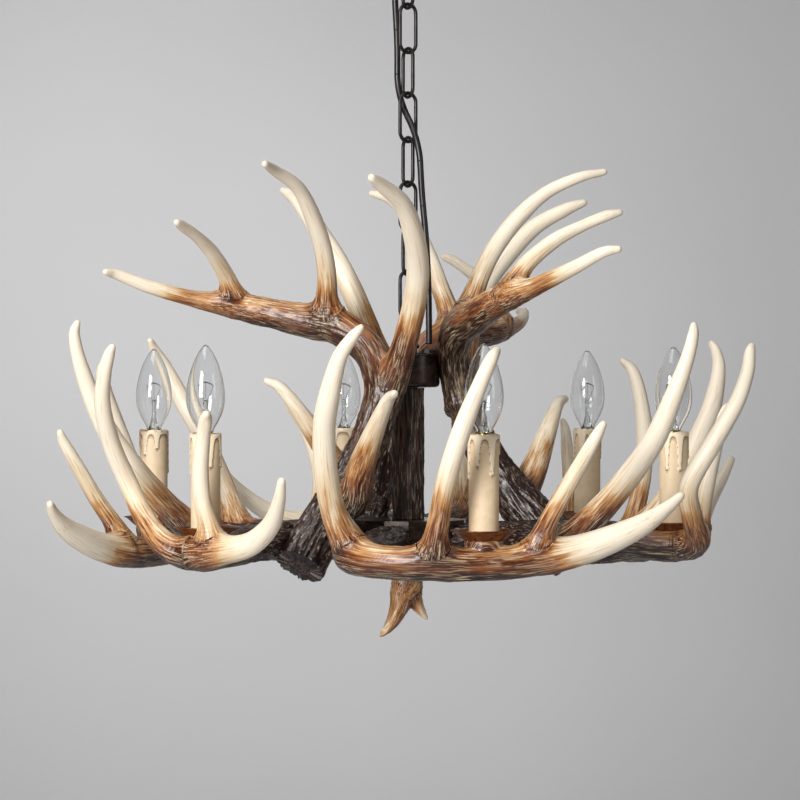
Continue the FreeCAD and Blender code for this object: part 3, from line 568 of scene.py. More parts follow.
def settle(piece):
    """The object's modifiers applied to its mesh."""
    shown = piece.evaluated_get(bpy.context.evaluated_depsgraph_get())
    mesh = bpy.data.meshes.new_from_object(shown)
    piece.modifiers.clear()
    old = piece.data
    piece.data = mesh
    bpy.data.meshes.remove(old)
    return piece


def coat(piece, material):
    """One material over the whole piece."""
    piece.data.materials.clear()
    piece.data.materials.append(material)
    return piece


def attribute(mesh, name, values, kind="FLOAT"):
    """Numbers on the mesh's points, which a material reads."""
    made = mesh.attributes.new(name, kind, "POINT")
    key = "vector" if kind == "FLOAT_VECTOR" else "value"
    made.data.foreach_set(key, np.asarray(values, np.float32).ravel())


def points_of(mesh):
    """The mesh's points as an array."""
    co = np.zeros(len(mesh.vertices) * 3, np.float32)
    mesh.vertices.foreach_get("co", co)
    return co.reshape(-1, 3).astype(float)


def normals_of(mesh):
    """The mesh's point normals as an array."""
    no = np.zeros(len(mesh.vertices) * 3, np.float32)
    mesh.vertex_normals.foreach_get("vector", no)
    return no.reshape(-1, 3).astype(float)


def round_stops(profile, radius, steps=4):
    """A profile of (radius, height) points with its inner corners rounded."""
    points = [Vector(p) for p in profile]
    result = [points[0]]
    for before, corner, after in zip(points, points[1:], points[2:]):
        into = (before - corner)
        out = (after - corner)
        cut = min(radius, into.length * 0.45, out.length * 0.45)
        first = corner + into.normalized() * cut
        last = corner + out.normalized() * cut
        for k in range(steps + 1):
            t = k / steps
            result.append(first.lerp(corner, t).lerp(corner.lerp(last, t), t))
    result.append(points[-1])
    return result


def lathe(name, profile, centre=(0, 0), sides=64, closed=True):
    """A turned piece; the profile is (radius, height) in metres, closed on itself or capped."""
    points = []
    faces = []
    count = len(profile)
    for k in range(sides):
        a = 2 * math.pi * k / sides
        for r, z in profile:
            points.append((centre[0] + r * math.cos(a), centre[1] + r * math.sin(a), z))
    runs = count if closed else count - 1
    for k in range(sides):
        n = (k + 1) % sides
        for i in range(runs):
            j = (i + 1) % count
            faces.append((k * count + i, n * count + i, n * count + j, k * count + j))
    if not closed:
        faces.append([k * count for k in range(sides)][::-1])
        faces.append([k * count + count - 1 for k in range(sides)])
    piece = object_from(name, points, faces)
    tidy_normals(piece)
    return piece


def tidy_normals(piece):
    """Faces turned outward."""
    work = bmesh.new()
    work.from_mesh(piece.data)
    bmesh.ops.remove_doubles(work, verts=work.verts, dist=1e-7)
    bmesh.ops.recalc_face_normals(work, faces=work.faces)
    work.to_mesh(piece.data)
    work.free()
    piece.data.update()


def ring_faces(rows, around, closed=False):
    """Faces between rings of points; closed joins last to first, else the ends are capped."""
    faces = []
    for i in range(rows if closed else rows - 1):
        j = (i + 1) % rows
        for k in range(around):
            n = (k + 1) % around
            faces.append((i * around + k, i * around + n, j * around + n, j * around + k))
    if not closed:
        faces.append(tuple(range(around))[::-1])
        faces.append(tuple((rows - 1) * around + k for k in range(around)))
    return faces


def smooth_between(p0, p1, p2, p3, t):
    """The point at t from 0 to 1 between p1 and p2, on a smooth curve through all four."""
    return 0.5 * (2 * p1 + (p2 - p0) * t + (2 * p0 - 5 * p1 + 4 * p2 - p3) * t ** 2
                  + (3 * p1 - p0 - 3 * p2 + p3) * t ** 3)


def run_on(control):
    """The points with one more at each end, in line with its neighbours."""
    return np.vstack([2 * control[0] - control[1], control, 2 * control[-1] - control[-2]])


def smooth_path(points, steps):
    """A smooth curve through a few points."""
    control = np.array(points, float)
    padded = run_on(control)
    result = []
    for i in range(1, len(padded) - 2):
        for k in range(steps):
            result.append(smooth_between(*padded[i - 1:i + 3], k / steps))
    result.append(control[-1])
    return np.array(result)


def sweep_frames(path):
    """Tangents and steady side vectors along a path."""
    path = np.asarray(path, float)
    tangents = np.gradient(path, axis=0)
    tangents /= np.linalg.norm(tangents, axis=1)[:, None]
    side = np.cross(tangents[0], (0.3, 1.0, 0.2))
    sides = []
    for t in tangents:
        side = side - t * side.dot(t)
        side /= np.linalg.norm(side)
        sides.append(side.copy())
    sides = np.array(sides)
    return tangents, sides, np.cross(tangents, sides)


def tube(name, path, radii, around=12, closed=False):
    """A round tube along a path, with flat or closed ends."""
    path = np.asarray(path, float)
    radii = np.broadcast_to(np.asarray(radii, float), (len(path),))
    if closed:
        tangents = np.roll(path, -1, 0) - np.roll(path, 1, 0)
        tangents /= np.linalg.norm(tangents, axis=1)[:, None]
        flat = np.cross(tangents[0], tangents[len(path) // 4])
        flat /= np.linalg.norm(flat)
        sides = np.tile(flat, (len(path), 1))
        ups = np.cross(tangents, sides)
    else:
        tangents, sides, ups = sweep_frames(path)
    angles = np.arange(around) * 2 * math.pi / around
    points = (path[:, None] + radii[:, None, None]
              * (sides[:, None] * np.cos(angles)[None, :, None]
                 + ups[:, None] * np.sin(angles)[None, :, None])).reshape(-1, 3)
    piece = object_from(name, points, ring_faces(len(path), around, closed))
    tidy_normals(piece)
    return piece


def join(name, pieces):
    """Several mesh objects as one."""
    work = bmesh.new()
    for piece in pieces:
        piece.data.transform(piece.matrix_world)
        work.from_mesh(piece.data)
        old = piece.data
        bpy.data.objects.remove(piece)
        bpy.data.meshes.remove(old)
    mesh = bpy.data.meshes.new(name)
    work.to_mesh(mesh)
    work.free()
    mesh.shade_smooth()
    joined = bpy.data.objects.new(name, mesh)
    bpy.context.scene.collection.objects.link(joined)
    return joined


def place(piece, body, slot, *nodes):
    """The piece rides on a body and stands for CAD nodes; the slot is not used."""
    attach(piece, body)
    if nodes:
        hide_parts(*nodes)
    return piece


def lattice(shape, seed):
    """Fixed random numbers on a cubic lattice."""
    return np.random.default_rng(seed).random(shape)


def value_noise(points, seed):
    """Smooth noise from 0 to 1 at the given points; the lattice repeats every 64 cells."""
    table = lattice((64, 64, 64), seed)
    cell = np.floor(points).astype(int)
    part = points - cell
    part = part * part * (3 - 2 * part)
    total = np.zeros(len(points))
    for corner in range(8):
        offset = np.array([corner & 1, corner >> 1 & 1, corner >> 2 & 1])
        index = (cell + offset) % 64
        weight = np.prod(np.where(offset, part, 1 - part), axis=1)
        total += weight * table[index[:, 0], index[:, 1], index[:, 2]]
    return total


# ---------------------------------------------------------------- antlers

def spline_stations(stations, step):
    """Stations resampled about every step on a smooth curve: places, radii and bark shares."""
    control = np.array(stations, float)
    control[:, :4] *= MM
    control[:, 2] += HUB_TOP
    padded = run_on(control)
    samples = []
    for i in range(1, len(padded) - 2):
        steps = max(2, int(np.linalg.norm(padded[i + 1, :3] - padded[i, :3]) / step))
        for k in range(steps):
            samples.append(smooth_between(*padded[i - 1:i + 3], k / steps))
    samples.append(control[-1])
    samples = np.array(samples)
    radii = np.maximum(samples[:, 3] / 2, 0.7 * MM)
    return samples[:, :3], radii, np.clip(samples[:, 4], 0, 1)


def rounded_end(path, radii):
    """The path and radii with a domed tip added."""
    along = path[-1] - path[-2]
    along /= np.linalg.norm(along)
    extra = [(0.5, 0.86), (0.85, 0.5), (1.0, 0.12)]
    tail = np.array([path[-1] + along * radii[-1] * t for t, _ in extra])
    return np.vstack([path, tail]), np.append(radii, [radii[-1] * r for _, r in extra])


def antler_skin(name, stems, extras, step):
    """One closed skin around all stems of an antler, filled out softly where they fork."""
    parts = []
    for path, radii in stems:
        path, radii = rounded_end(path, radii)
        parts.append(tube(name + "_stem", path, radii, 28))
    parts += extras
    skin = join(name, parts)
    remesh = skin.modifiers.new("close", "REMESH")
    remesh.mode = "VOXEL"
    remesh.voxel_size = step
    remesh.use_smooth_shade = True
    soften = skin.modifiers.new("soften", "SMOOTH")
    soften.factor = 0.5
    soften.iterations = 5
    return settle(skin)


def nearest_on(points, path):
    """Index of the nearest point of the path for each of the points."""
    path_size = (path ** 2).sum(1)
    return (path_size[None] - 2 * points @ path.T).argmin(1)


def outside_stem(points, path, tangents, radii):
    """Distance of the points outside a stem, and the offsets from its nearest point."""
    nearest = nearest_on(points, path)
    offset = points - path[nearest]
    along = (offset * tangents[nearest]).sum(1)
    ends = (nearest == 0) | (nearest == len(path) - 1)
    square = np.where(ends, 0, along)
    across = offset - tangents[nearest] * square[:, None]
    return np.linalg.norm(across, axis=1) - radii[nearest], nearest, offset, along


def web_forks(skin, stems, blend):
    """Draw the skin out into a fillet wherever two stems run into each other at an angle.

    Returns how deep each point lies in a fork, from 0 to 1; the bark is darkened there as painted
    shade with some wash.
    """
    mesh = skin.data
    fork_shade_and_wash = None
    points = points_of(mesh)
    normals = normals_of(mesh)
    tangents = [sweep_frames(path)[0] for path, _ in stems]
    rows = np.arange(len(points))
    for _ in range(2):
        found = [outside_stem(points, path, along, radii)
                 for (path, radii), along in zip(stems, tangents)]
        outside = np.stack([f[0] for f in found])
        radial = np.stack([f[2] / (np.linalg.norm(f[2], axis=1)[:, None] + 1e-9) for f in found])
        main = outside.argmin(0)
        spread = 1 - (radial * radial[main, rows]).sum(2)
        close = np.exp(-(outside - outside[main, rows]) / blend) * np.clip(spread, 0, 1)
        fill = blend * np.log(1 + close.sum(0))
        # How deep each point lies in a fork, kept for the painted shade with some wash there.
        if fork_shade_and_wash is None:
            fork_shade_and_wash = np.clip(close.sum(0) * 1.6 - 0.25, 0, 1)
        points += normals * fill[:, None]
        mesh.vertices.foreach_set("co", points.astype(np.float32).ravel())
        mesh.update()
        normals = normals_of(mesh)
        blend *= 0.6
    soften = skin.modifiers.new("soften", "SMOOTH")
    soften.factor = 0.5
    soften.iterations = 4
    settle(skin)
    return fork_shade_and_wash


def stem_fields(points, path, radii, bark):
    """For each point: distance outside a stem, place across and along it, and bark there."""
    tangents, sides, ups = sweep_frames(path)
    lengths = np.concatenate([[0], np.cumsum(np.linalg.norm(np.diff(path, axis=0), axis=1))])
    outside, nearest, offset, forward = outside_stem(points, path, tangents, radii)
    across = (offset * sides[nearest]).sum(1)
    over = (offset * ups[nearest]).sum(1)
    # Brought back to the stem's own surface, so that the ribs run out into the webs.
    away = np.maximum(np.hypot(across, over), 0.1 * MM)
    pull = np.clip((away - outside) / away, 0, 2)
    along = lengths[nearest] + forward
    local = np.stack([across * pull, over * pull, along], 1)
    return outside, local, np.interp(along, lengths, bark)


# Bark shares from 0, ivory, to 1, black bark: where a root's bark starts and over what share it
# comes in, and how dark the bark gets in a fork, as painted shade with some wash.
ROOT_BARK = 0.68
ROOT_BARK_SPAN = 0.22
FORK_SHADE_AND_WASH_BARK = 0.66
STEM_BLEND = 4.5 * MM


def carve_bark(skin, stems, barks, fork_shade_and_wash, seed, rib_width, rib_depth):
    """Grooves along the beams and pearls near the roots, fading out on the tines.

    The bark is darker in the forks: painted shade, with some wash.
    """
    mesh = skin.data
    points = points_of(mesh)
    normals = normals_of(mesh)
    fields = [stem_fields(points, path, radii, bark)
              for (path, radii), bark in zip(stems, barks)]
    outside = np.stack([f[0] for f in fields])
    weights = np.exp(-(outside - outside.min(0)) / STEM_BLEND)
    weights /= weights.sum(0)
    bark = (np.stack([f[2] for f in fields]) * weights).sum(0)
    # Painted shade with some wash: the bark darkens deeper in a fork.
    shaded_and_washed_bark = bark + 0.34 * fork_shade_and_wash * np.clip(bark / 0.3, 0, 1)
    bark = np.maximum(bark, np.minimum(shaded_and_washed_bark, FORK_SHADE_AND_WASH_BARK))
    rooty = np.clip((bark - ROOT_BARK) / ROOT_BARK_SPAN, 0, 1)
    heights = []
    for index, (_, local, _) in enumerate(fields):
        shift = np.array([7.3 * index + seed, 3.1 * index, 11.7 * index])
        bend = value_noise(local / (np.array([40, 40, 60]) * MM) + shift, seed + 5) - 0.5
        ribs = local / np.array([rib_width, rib_width, 38 * MM]) + shift
        ribs[:, :2] += bend[:, None] * 1.8
        wide = 1 - np.abs(2 * value_noise(ribs, seed) - 1)
        fine = 1 - np.abs(2 * value_noise(ribs * [2.3, 2.3, 1.9] + 9, seed + 1) - 1)
        pearls = value_noise(local / (np.array([2.6, 2.6, 9]) * MM) + shift, seed + 2)
        heights.append(0.6 * wide + 0.4 * fine + rooty * (pearls - 0.5) * 0.35)
    relief = (np.stack(heights) * weights).sum(0)
    depth = rib_depth * (0.06 + 0.94 * np.clip(bark / 0.6, 0, 1)) * (1 + 0.8 * rooty)
    moved = points + normals * ((relief - 0.55) * 2 * depth)[:, None]
    mesh.vertices.foreach_set("co", moved.astype(np.float32).ravel())
    main = outside.argmin(0)
    grain = np.stack([f[1] for f in fields])[main, np.arange(len(points))]
    grain[:, 2] += main * 0.31
    attribute(mesh, "grain", grain, "FLOAT_VECTOR")
    attribute(mesh, "bark", bark)
    attribute(mesh, "relief", np.clip((relief - 0.25) / 0.6, 0, 1))
    # Painted shade and light: how far each face turns down, negative where it turns up (less so
    # towards the roots); it darkens the bark below and lightens it above.
    attribute(mesh, "under", np.where(normals[:, 2] > 0, rooty - 1, -1) * normals[:, 2])
    mesh.update()


def lamp_centre(number):
    """Centre line of a candle and the height of its seat, from its sleeve's solid."""
    low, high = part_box("candle_sleeve_%d" % number)
    return Vector(((low.x + high.x) / 2, (low.y + high.y) / 2, low.z))


def candle_boss(number):
    """Round pad that rises from an antler under a drip pan."""
    seat = lamp_centre(number)
    pan_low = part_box("drip_pans")[0].z
    return lathe("boss", [(0.0165, pan_low - 0.0002), (0.0165, pan_low - 0.006),
                          (0.0140, pan_low - 0.02)], (seat.x, seat.y), 40, closed=False)


def leaned_place(leans, copy):
    """The place of one of three copies: leaned about its foot, then turned by thirds."""
    foot, turns = leans
    pivot = Vector(foot) * MM + Vector((0, 0, HUB_TOP))
    axis = Vector(turns[copy])
    lean = Matrix.Identity(4)
    if axis.length:
        lean = Matrix.Rotation(math.radians(axis.length), 4, axis)
    third = Matrix.Rotation(math.radians(120 * copy), 4, "Z")
    return third @ Matrix.Translation(pivot) @ lean @ Matrix.Translation(-pivot)


def make_antler(name, table, seed, matrix=Matrix.Identity(4), boss=None):
    """One antler with its forks webbed and its bark carved, at its place."""
    look = group("antler_settings")
    step = look.mesh_step * 1
    turned = np.array(matrix.to_3x3())
    stems = []
    barks = []
    for stations in table:
        path, radii, bark = spline_stations(stations, 3 * MM)
        stems.append((path @ turned.T + np.array(matrix.translation), radii))
        barks.append(bark)
    skin = antler_skin(name, stems, [boss] if boss else [], step)
    fork_shade_and_wash = web_forks(skin, stems, look.web)
    carve_bark(skin, stems, barks, fork_shade_and_wash, seed, look.rib_width, look.rib_depth)
    coat(skin, finish_of(cast_resin_antler))
    return skin


class CHANDELIER_OT_upper_antlers(bpy.types.Operator):
    """Make the three tall antlers that lean on the column"""

    bl_idname = "chandelier.upper_antlers"
    bl_label = "Upper antlers"

    def execute(self, context):
        for copy in range(3):
            piece = make_antler("antler_upper_%d" % (copy + 1), UPPER_STEMS, 11 + copy,
                                leaned_place(UPPER_LEANS, copy))
            place(piece, "fixture", "antler_resin", "upper_antler%d" % (copy + 1))
        return {"FINISHED"}


class CHANDELIER_OT_lower_antlers(bpy.types.Operator):
    """Make the six antlers that carry the candles"""

    bl_idname = "chandelier.lower_antlers"
    bl_label = "Lower antlers"

    def execute(self, context):
        for letter, table, leans, seed, lamp in (("a", LOWER_A_STEMS, LOWER_A_LEANS, 23, 2),
                                                 ("b", LOWER_B_STEMS, LOWER_B_LEANS, 37, 1)):
            for copy in range(3):
                piece = make_antler("antler_low_%s%d" % (letter, copy + 1), table, seed + copy,
                                    leaned_place(leans, copy), candle_boss(lamp + 2 * copy))
                place(piece, "fixture", "antler_resin",
                      "lower_antler_%s%d" % (letter, copy + 1))
        return {"FINISHED"}


class CHANDELIER_OT_finial(bpy.types.Operator):
    """Make the small three-point antler under the hub"""

    bl_idname = "chandelier.finial"
    bl_label = "Finial"

    def execute(self, context):
        piece = make_antler("finial_points", FINIAL_STEMS, 51)
        place(piece, "fixture", "antler_resin", "finial_antler")
        return {"FINISHED"}


# ---------------------------------------------------------------- metal and column

class CHANDELIER_OT_column(bpy.types.Operator):
    """Make the bark column between hub and cap"""

    bl_idname = "chandelier.column"
    bl_label = "Bark column"

    def execute(self, context):
        low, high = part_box("column")
        radius = (high.x - low.x) / 2 - 1.0 * MM
        rows = 160
        around = 180
        z = np.linspace(low.z + 0.3 * MM, high.z - 0.3 * MM, rows)
        a = np.arange(around) * 2 * math.pi / around
        grid_a, grid_z = np.meshgrid(a, z)
        flat = np.stack([np.cos(grid_a).ravel() * 5, np.sin(grid_a).ravel() * 5,
                         grid_z.ravel() / 0.03], 1) + 20
        bend = value_noise(flat * [0.3, 0.3, 0.6], 61) - 0.5
        flat[:, :2] += bend[:, None] * 1.6
        wide = 1 - np.abs(2 * value_noise(flat, 62) - 1)
        fine = 1 - np.abs(2 * value_noise(flat * [2.2, 2.2, 2.6], 63) - 1)
        relief = 0.7 * wide + 0.3 * fine
        reach_out = radius + (relief - 0.6) * 3.2 * MM
        points = np.stack([np.cos(grid_a).ravel() * reach_out, np.sin(grid_a).ravel() * reach_out,
                           grid_z.ravel()], 1)
        piece = object_from("bark_column", points, ring_faces(rows, around))
        attribute(piece.data, "relief", np.clip((relief - 0.2) / 0.75, 0, 1))
        coat(piece, finish_of(cast_resin_bark))
        place(piece, "fixture", "bark_resin", "column")
        return {"FINISHED"}


def wire_ring(name, centre, yaw, wire, width, height, weld=False):
    """An upright oval of round wire about a centre; width and height are its inner sizes."""
    bend = (width + wire) / 2
    rise = (height - width) / 2
    path = []
    steps = 24
    for end in (1, -1):
        for k in range(steps + 1):
            a = math.pi * (k / steps + (0 if end > 0 else 1))
            path.append((bend * math.cos(a), 0, end * rise + bend * math.sin(a)))
        for t in (0.2, 0.4, 0.6, 0.8):
            path.append((-end * bend, 0, end * rise * (1 - 2 * t)))
    path = np.array(path)
    radii = np.full(len(path), wire / 2)
    if weld:
        seam = np.hypot(path[:, 0] - bend, path[:, 2])
        radii = radii * (1 + 0.16 * np.exp(-(seam / (1.6 * MM)) ** 2))
    piece = tube(name, path, radii, 16, closed=True)
    piece.data.transform(Matrix.Translation(centre) @ Matrix.Rotation(yaw, 4, "Z"))
    return piece


def ring_frame(node):
    """Centre and yaw of an upright wire ring, from its solid's points."""
    points = points_of(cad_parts[node].data)
    low, high = points.min(0), points.max(0)
    flat = points[:, :2]
    far = flat[np.hypot(flat[:, 0], flat[:, 1]).argmax()]
    _, _, axes = np.linalg.svd(flat - flat.mean(0), full_matrices=False)
    yaw = math.atan2(axes[0][1], axes[0][0])
    if far @ axes[0] < 0:
        yaw += math.pi
    return Vector((0, 0, (low[2] + high[2]) / 2)), yaw, low, high


LINK_WIRE = 3.5 * MM
LINK_WIDTH = 14.0 * MM
LINK_HEIGHT = 42.5 * MM
LOOP_WIRE = 4.5 * MM
LOOP_WIDTH = 14.0 * MM
LOOP_HEIGHT = 20.0 * MM
LOOP_FOOT_RADIUS = 11.0 * MM
LOOP_FOOT_HEIGHT = 6.0 * MM
LOOP_BORE = 5.1 * MM
TUBE_HOLE = 5.4 * MM


class CHANDELIER_OT_chain(bpy.types.Operator):
    """Make the chain's welded links and the loops at its ends"""

    bl_idname = "chandelier.chain"
    bl_label = "Chain"

    def execute(self, context):
        steel = finish_of(blackened_steel)
        for number in range(1, LINK_COUNT + 1):
            node = "chain_link_%d" % number
            centre, yaw, _, _ = ring_frame(node)
            link = wire_ring("link_%d" % number, centre, yaw, LINK_WIRE, LINK_WIDTH, LINK_HEIGHT,
                             weld=True)
            coat(link, steel)
            place(link, "link_%d" % number, "bronzed_brass", node)
        for node, body, beside, down in (("ceiling_loop", "ceiling_plate", "chain_link_2", True),
                                         ("fixture_loop", "fixture", "chain_link_7", False)):
            _, yaw, _, _ = ring_frame(beside)
            low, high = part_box(node)
            foot = high.z if down else low.z
            sign = -1 if down else 1
            eye_centre = foot + sign * (LOOP_FOOT_HEIGHT - 1 * MM + LOOP_WIRE + LOOP_HEIGHT / 2)
            eye = wire_ring("eye", Vector((0, 0, eye_centre)), yaw + math.pi / 2, LOOP_WIRE,
                            LOOP_WIDTH, LOOP_HEIGHT)
            profile = [(LOOP_BORE, foot), (LOOP_FOOT_RADIUS, foot),
                       (LOOP_FOOT_RADIUS, foot + sign * LOOP_FOOT_HEIGHT * 0.55),
                       (LOOP_FOOT_RADIUS * 0.62, foot + sign * LOOP_FOOT_HEIGHT),
                       (LOOP_BORE * 0.6, foot + sign * LOOP_FOOT_HEIGHT)]
            base = lathe("foot", round_stops(profile, 1.2 * MM), sides=48)
            loop = join("loop_top" if down else "loop_low", [eye, base])
            coat(loop, steel)
            place(loop, body, "bronzed_brass", node)
        return {"FINISHED"}


class CHANDELIER_OT_cord(bpy.types.Operator):
    """Make the supply cord that winds down the chain"""

    bl_idname = "chandelier.cord"
    bl_label = "Supply cord"

    def execute(self, context):
        route = bpy.data.curves.new("cord_route", "CURVE")
        route.dimensions = "3D"
        route.resolution_u = 48
        spline = route.splines.new("NURBS")
        spline.points.add(len(CORD_ROUTE) - 1)
        for point, (x, y, z) in zip(spline.points, CORD_ROUTE):
            point.co = (x * MM, y * MM, z * MM + HUB_TOP, 1)
        spline.order_u = 3
        spline.use_endpoint_u = True
        line = bpy.data.objects.new("cord_route", route)
        bpy.context.scene.collection.objects.link(line)
        shown = line.evaluated_get(bpy.context.evaluated_depsgraph_get())
        path = points_of(bpy.data.meshes.new_from_object(shown))
        bpy.data.objects.remove(line)
        bpy.data.curves.remove(route)

        levels = []
        for number in range(1, LINK_COUNT + 1):
            low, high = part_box("chain_link_%d" % number)
            levels.append((low.z + high.z) / 2)
        cuts = [0] + [int(np.abs(path[:, 2] - z).argmin()) for z in levels] + [len(path) - 1]
        pvc = finish_of(extruded_pvc)
        _, sides, ups = sweep_frames(path)
        for index, (first, last) in enumerate(zip(cuts, cuts[1:])):
            part = path[first:last + 1]
            stretch = cord_stretch("cord_%d" % (index + 1), part, sides[first:last + 1],
                                   ups[first:last + 1])
            coat(stretch, pvc)
            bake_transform(stretch)
            if index == 0:
                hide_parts("supply_cord")
        return {"FINISHED"}


def cord_stretch(name, path, sides, ups, around=20):
    """One stretch of cord as a closed round tube on given side vectors."""
    angles = np.arange(around) * 2 * math.pi / around
    spokes = (sides[:, None] * np.cos(angles)[None, :, None]
              + ups[:, None] * np.sin(angles)[None, :, None])
    points = (path[:, None] + CORD_DIAMETER / 2 * spokes).reshape(-1, 3)
    piece = object_from(name, points, ring_faces(len(path), around))
    tidy_normals(piece)
    return piece


class CHANDELIER_OT_canopy(bpy.types.Operator):
    """Make the ceiling canopy"""

    bl_idname = "chandelier.canopy"
    bl_label = "Ceiling canopy"

    def execute(self, context):
        low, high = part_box("ceiling_canopy")
        rim = (high.x - low.x) / 2
        depth = high.z - low.z
        wall = 1.2 * MM
        outside = []
        steps = 28
        for k in range(steps + 1):
            t = k / steps
            a = t * math.pi / 2
            outside.append((rim * (0.5 + 0.5 * math.cos(a) ** 0.7), high.z - depth * t ** 1.1))
        outside.append((TUBE_HOLE, low.z))
        inside = [(TUBE_HOLE, low.z + wall)]
        inside += [(r - wall, max(z, low.z + wall)) for r, z in outside[-2::-1]]
        piece = lathe("canopy_shell", outside + inside, sides=96)
        coat(piece, finish_of(painted_dark_bronze))
        place(piece, "ceiling_plate", "bronzed_brass", "ceiling_canopy")
        return {"FINISHED"}


class CHANDELIER_OT_cap(bpy.types.Operator):
    """Make the dark cup and its lid on top of the column"""

    bl_idname = "chandelier.cap"
    bl_label = "Top cap"

    def execute(self, context):
        low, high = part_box("top_cap")
        radius = (high.x - low.x) / 2
        wall = 2 * MM
        corner = 5 * MM
        profile = [(TUBE_HOLE, low.z), (radius, low.z), (radius, high.z), (radius - wall, high.z),
                   (radius - wall, low.z + wall), (TUBE_HOLE, low.z + wall)]
        cup = lathe("cap_cup", round_stops(profile, corner, 8), sides=96)
        coat(cup, finish_of(painted_dark_bronze))
        place(cup, "fixture", "dark_paint", "top_cap")
        for node in ("cap_lid", "loop_nut"):
            bevel_node(node, 0.5 * MM)
        return {"FINISHED"}


def bevel_node(node, width):
    """Softened edges on a CAD node that stays in view."""
    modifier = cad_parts[node].modifiers.new("edges", "BEVEL")
    modifier.width = width
    modifier.segments = 2
    modifier.limit_method = "ANGLE"
    modifier.angle_limit = math.radians(40)


class CHANDELIER_OT_fittings(bpy.types.Operator):
    """Finish the solids that stay in view as they are"""

    bl_idname = "chandelier.fittings"
    bl_label = "Hub and fittings"

    def execute(self, context):
        steel = finish_of(zinc_plated_steel)
        bronze = finish_of(painted_dark_bronze)
        black = finish_of(moulded_phenolic, "moulded_phenolic_black", "141414", 0.4)
        white = finish_of(moulded_phenolic, "moulded_nylon_white", "D8D6CE", 0.5)
        finishes = {
            "ceiling_bar": steel, "ceiling_nuts": steel, "ceiling_tube": steel,
            "lamp_pipe": steel, "antler_bolts": steel, "candle_studs": steel, "hub_nut": steel,
            "loop_nut": finish_of(blackened_steel), "cap_lid": bronze, "hub_drum": bronze,
            "hub_cover": bronze, "cord_grommet": black, "cord_gland": black,
            "lamp_holders": black, "terminal_block": white,
        }
        for node, material in finishes.items():
            coat(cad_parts[node], material)
        for node in ("hub_drum", "hub_cover", "hub_nut", "ceiling_nuts", "ceiling_bar",
                     "cord_grommet", "cord_gland"):
            bevel_node(node, 0.6 * MM)
        return {"FINISHED"}


# ---------------------------------------------------------------- candles

PAN_RADIUS = 29.0 * MM
PAN_FLOOR_RADIUS = 18.0 * MM
PAN_WALL = 1.2 * MM


class CHANDELIER_OT_pans(bpy.types.Operator):
    """Make the six drip pans"""

    bl_idname = "chandelier.pans"
    bl_label = "Drip pans"

    def execute(self, context):
        low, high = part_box("drip_pans")
        bore = 4.3 * MM
        floor = low.z
        rim = high.z
        pans = []
        for number in range(1, LAMP_COUNT + 1):
            centre = lamp_centre(number)
            under = [(bore, floor), (PAN_FLOOR_RADIUS, floor),
                     (PAN_RADIUS - 2.5 * MM, rim - 1.6 * MM),
                     (PAN_RADIUS, rim - 0.8 * MM), (PAN_RADIUS - 0.4 * MM, rim),
                     (PAN_RADIUS - 2.6 * MM, rim - 0.5 * MM),
                     (PAN_FLOOR_RADIUS - 0.5 * MM, floor + PAN_WALL), (bore, floor + PAN_WALL)]
            pans.append(lathe("pan", round_stops(under, 1.6 * MM), (centre.x, centre.y), 72))
        piece = join("drip_dishes", pans)
        coat(piece, finish_of(patinated_bronze))
        place(piece, "fixture", "rust_paint", "drip_pans")
        return {"FINISHED"}


SLEEVE_RADIUS = 13.2 * MM
SLEEVE_BORE = 11.8 * MM
WAX_COLLAR = 5.0 * MM
WAX_RUNS = 6


def turn_from(angle, centre):
    """Angles measured from a centre, between minus and plus half a turn."""
    return (angle - centre + math.pi) % (2 * math.pi) - math.pi


def wax_runs(random):
    """The wax runs of a sleeve: angle, length and width of each."""
    runs = []
    for k in range(WAX_RUNS):
        turn = 2 * math.pi * (k + random.uniform(-0.22, 0.22)) / WAX_RUNS
        runs.append((turn, random.uniform(18, 42) * MM, random.uniform(1.9, 2.6) * MM))
    return runs


def wax_field(angle, depth, runs):
    """Signed distance in metres into the wax: positive inside a run or the collar."""
    edge = np.full(angle.shape, WAX_COLLAR)
    for centre, length, width in runs:
        across = np.abs(turn_from(angle, centre)) * SLEEVE_RADIUS
        finger = (length - WAX_COLLAR) / (1 + (across / width) ** 4)
        edge = np.maximum(edge, WAX_COLLAR + finger)
    return edge - depth


def wax_lift(angle, depth, inside, runs):
    """How far the wax stands out, as a share of its height; each run ends in a bead."""
    lift = np.clip(inside / (1.6 * MM), 0, 1)
    lift = lift * lift * (3 - 2 * lift)
    for turn, length, _ in runs:
        gap = turn_from(angle, turn)
        bead = np.hypot(gap * SLEEVE_RADIUS, depth - (length - 1.5 * MM)) / (2.6 * MM)
        lift = np.maximum(lift, 1.25 * np.sqrt(np.clip(1 - bead ** 2, 0, 1)))
    return lift


def wax_stain(number, angle, depth, inside, patch):
    """Where brown glaze lies: round the runs, in the chipped top, and as smoke on one sleeve."""
    band = np.exp(-((inside + 0.5 * MM) / (0.7 * MM)) ** 2)
    second = 0.6 * np.exp(-((inside + 2.4 * MM) / (0.45 * MM)) ** 2)
    stain = np.clip(band + second, 0, 1)
    smoked = 1.0 if number == LAMP_COUNT else 0.45
    chipped = np.clip((patch - 0.42) * 5, 0, 1) * np.clip(1 - depth / (3.5 * MM), 0, 1)
    stain = np.maximum(stain, chipped * smoked)
    if number == LAMP_COUNT:
        side = np.clip(-np.cos(angle) * 1.6 - 0.5, 0, 1)
        smoke = side * np.clip(1 - depth / (42 * MM), 0, 1) * (0.4 + patch)
        stain = np.maximum(stain, np.clip(smoke, 0, 0.85))
    return stain


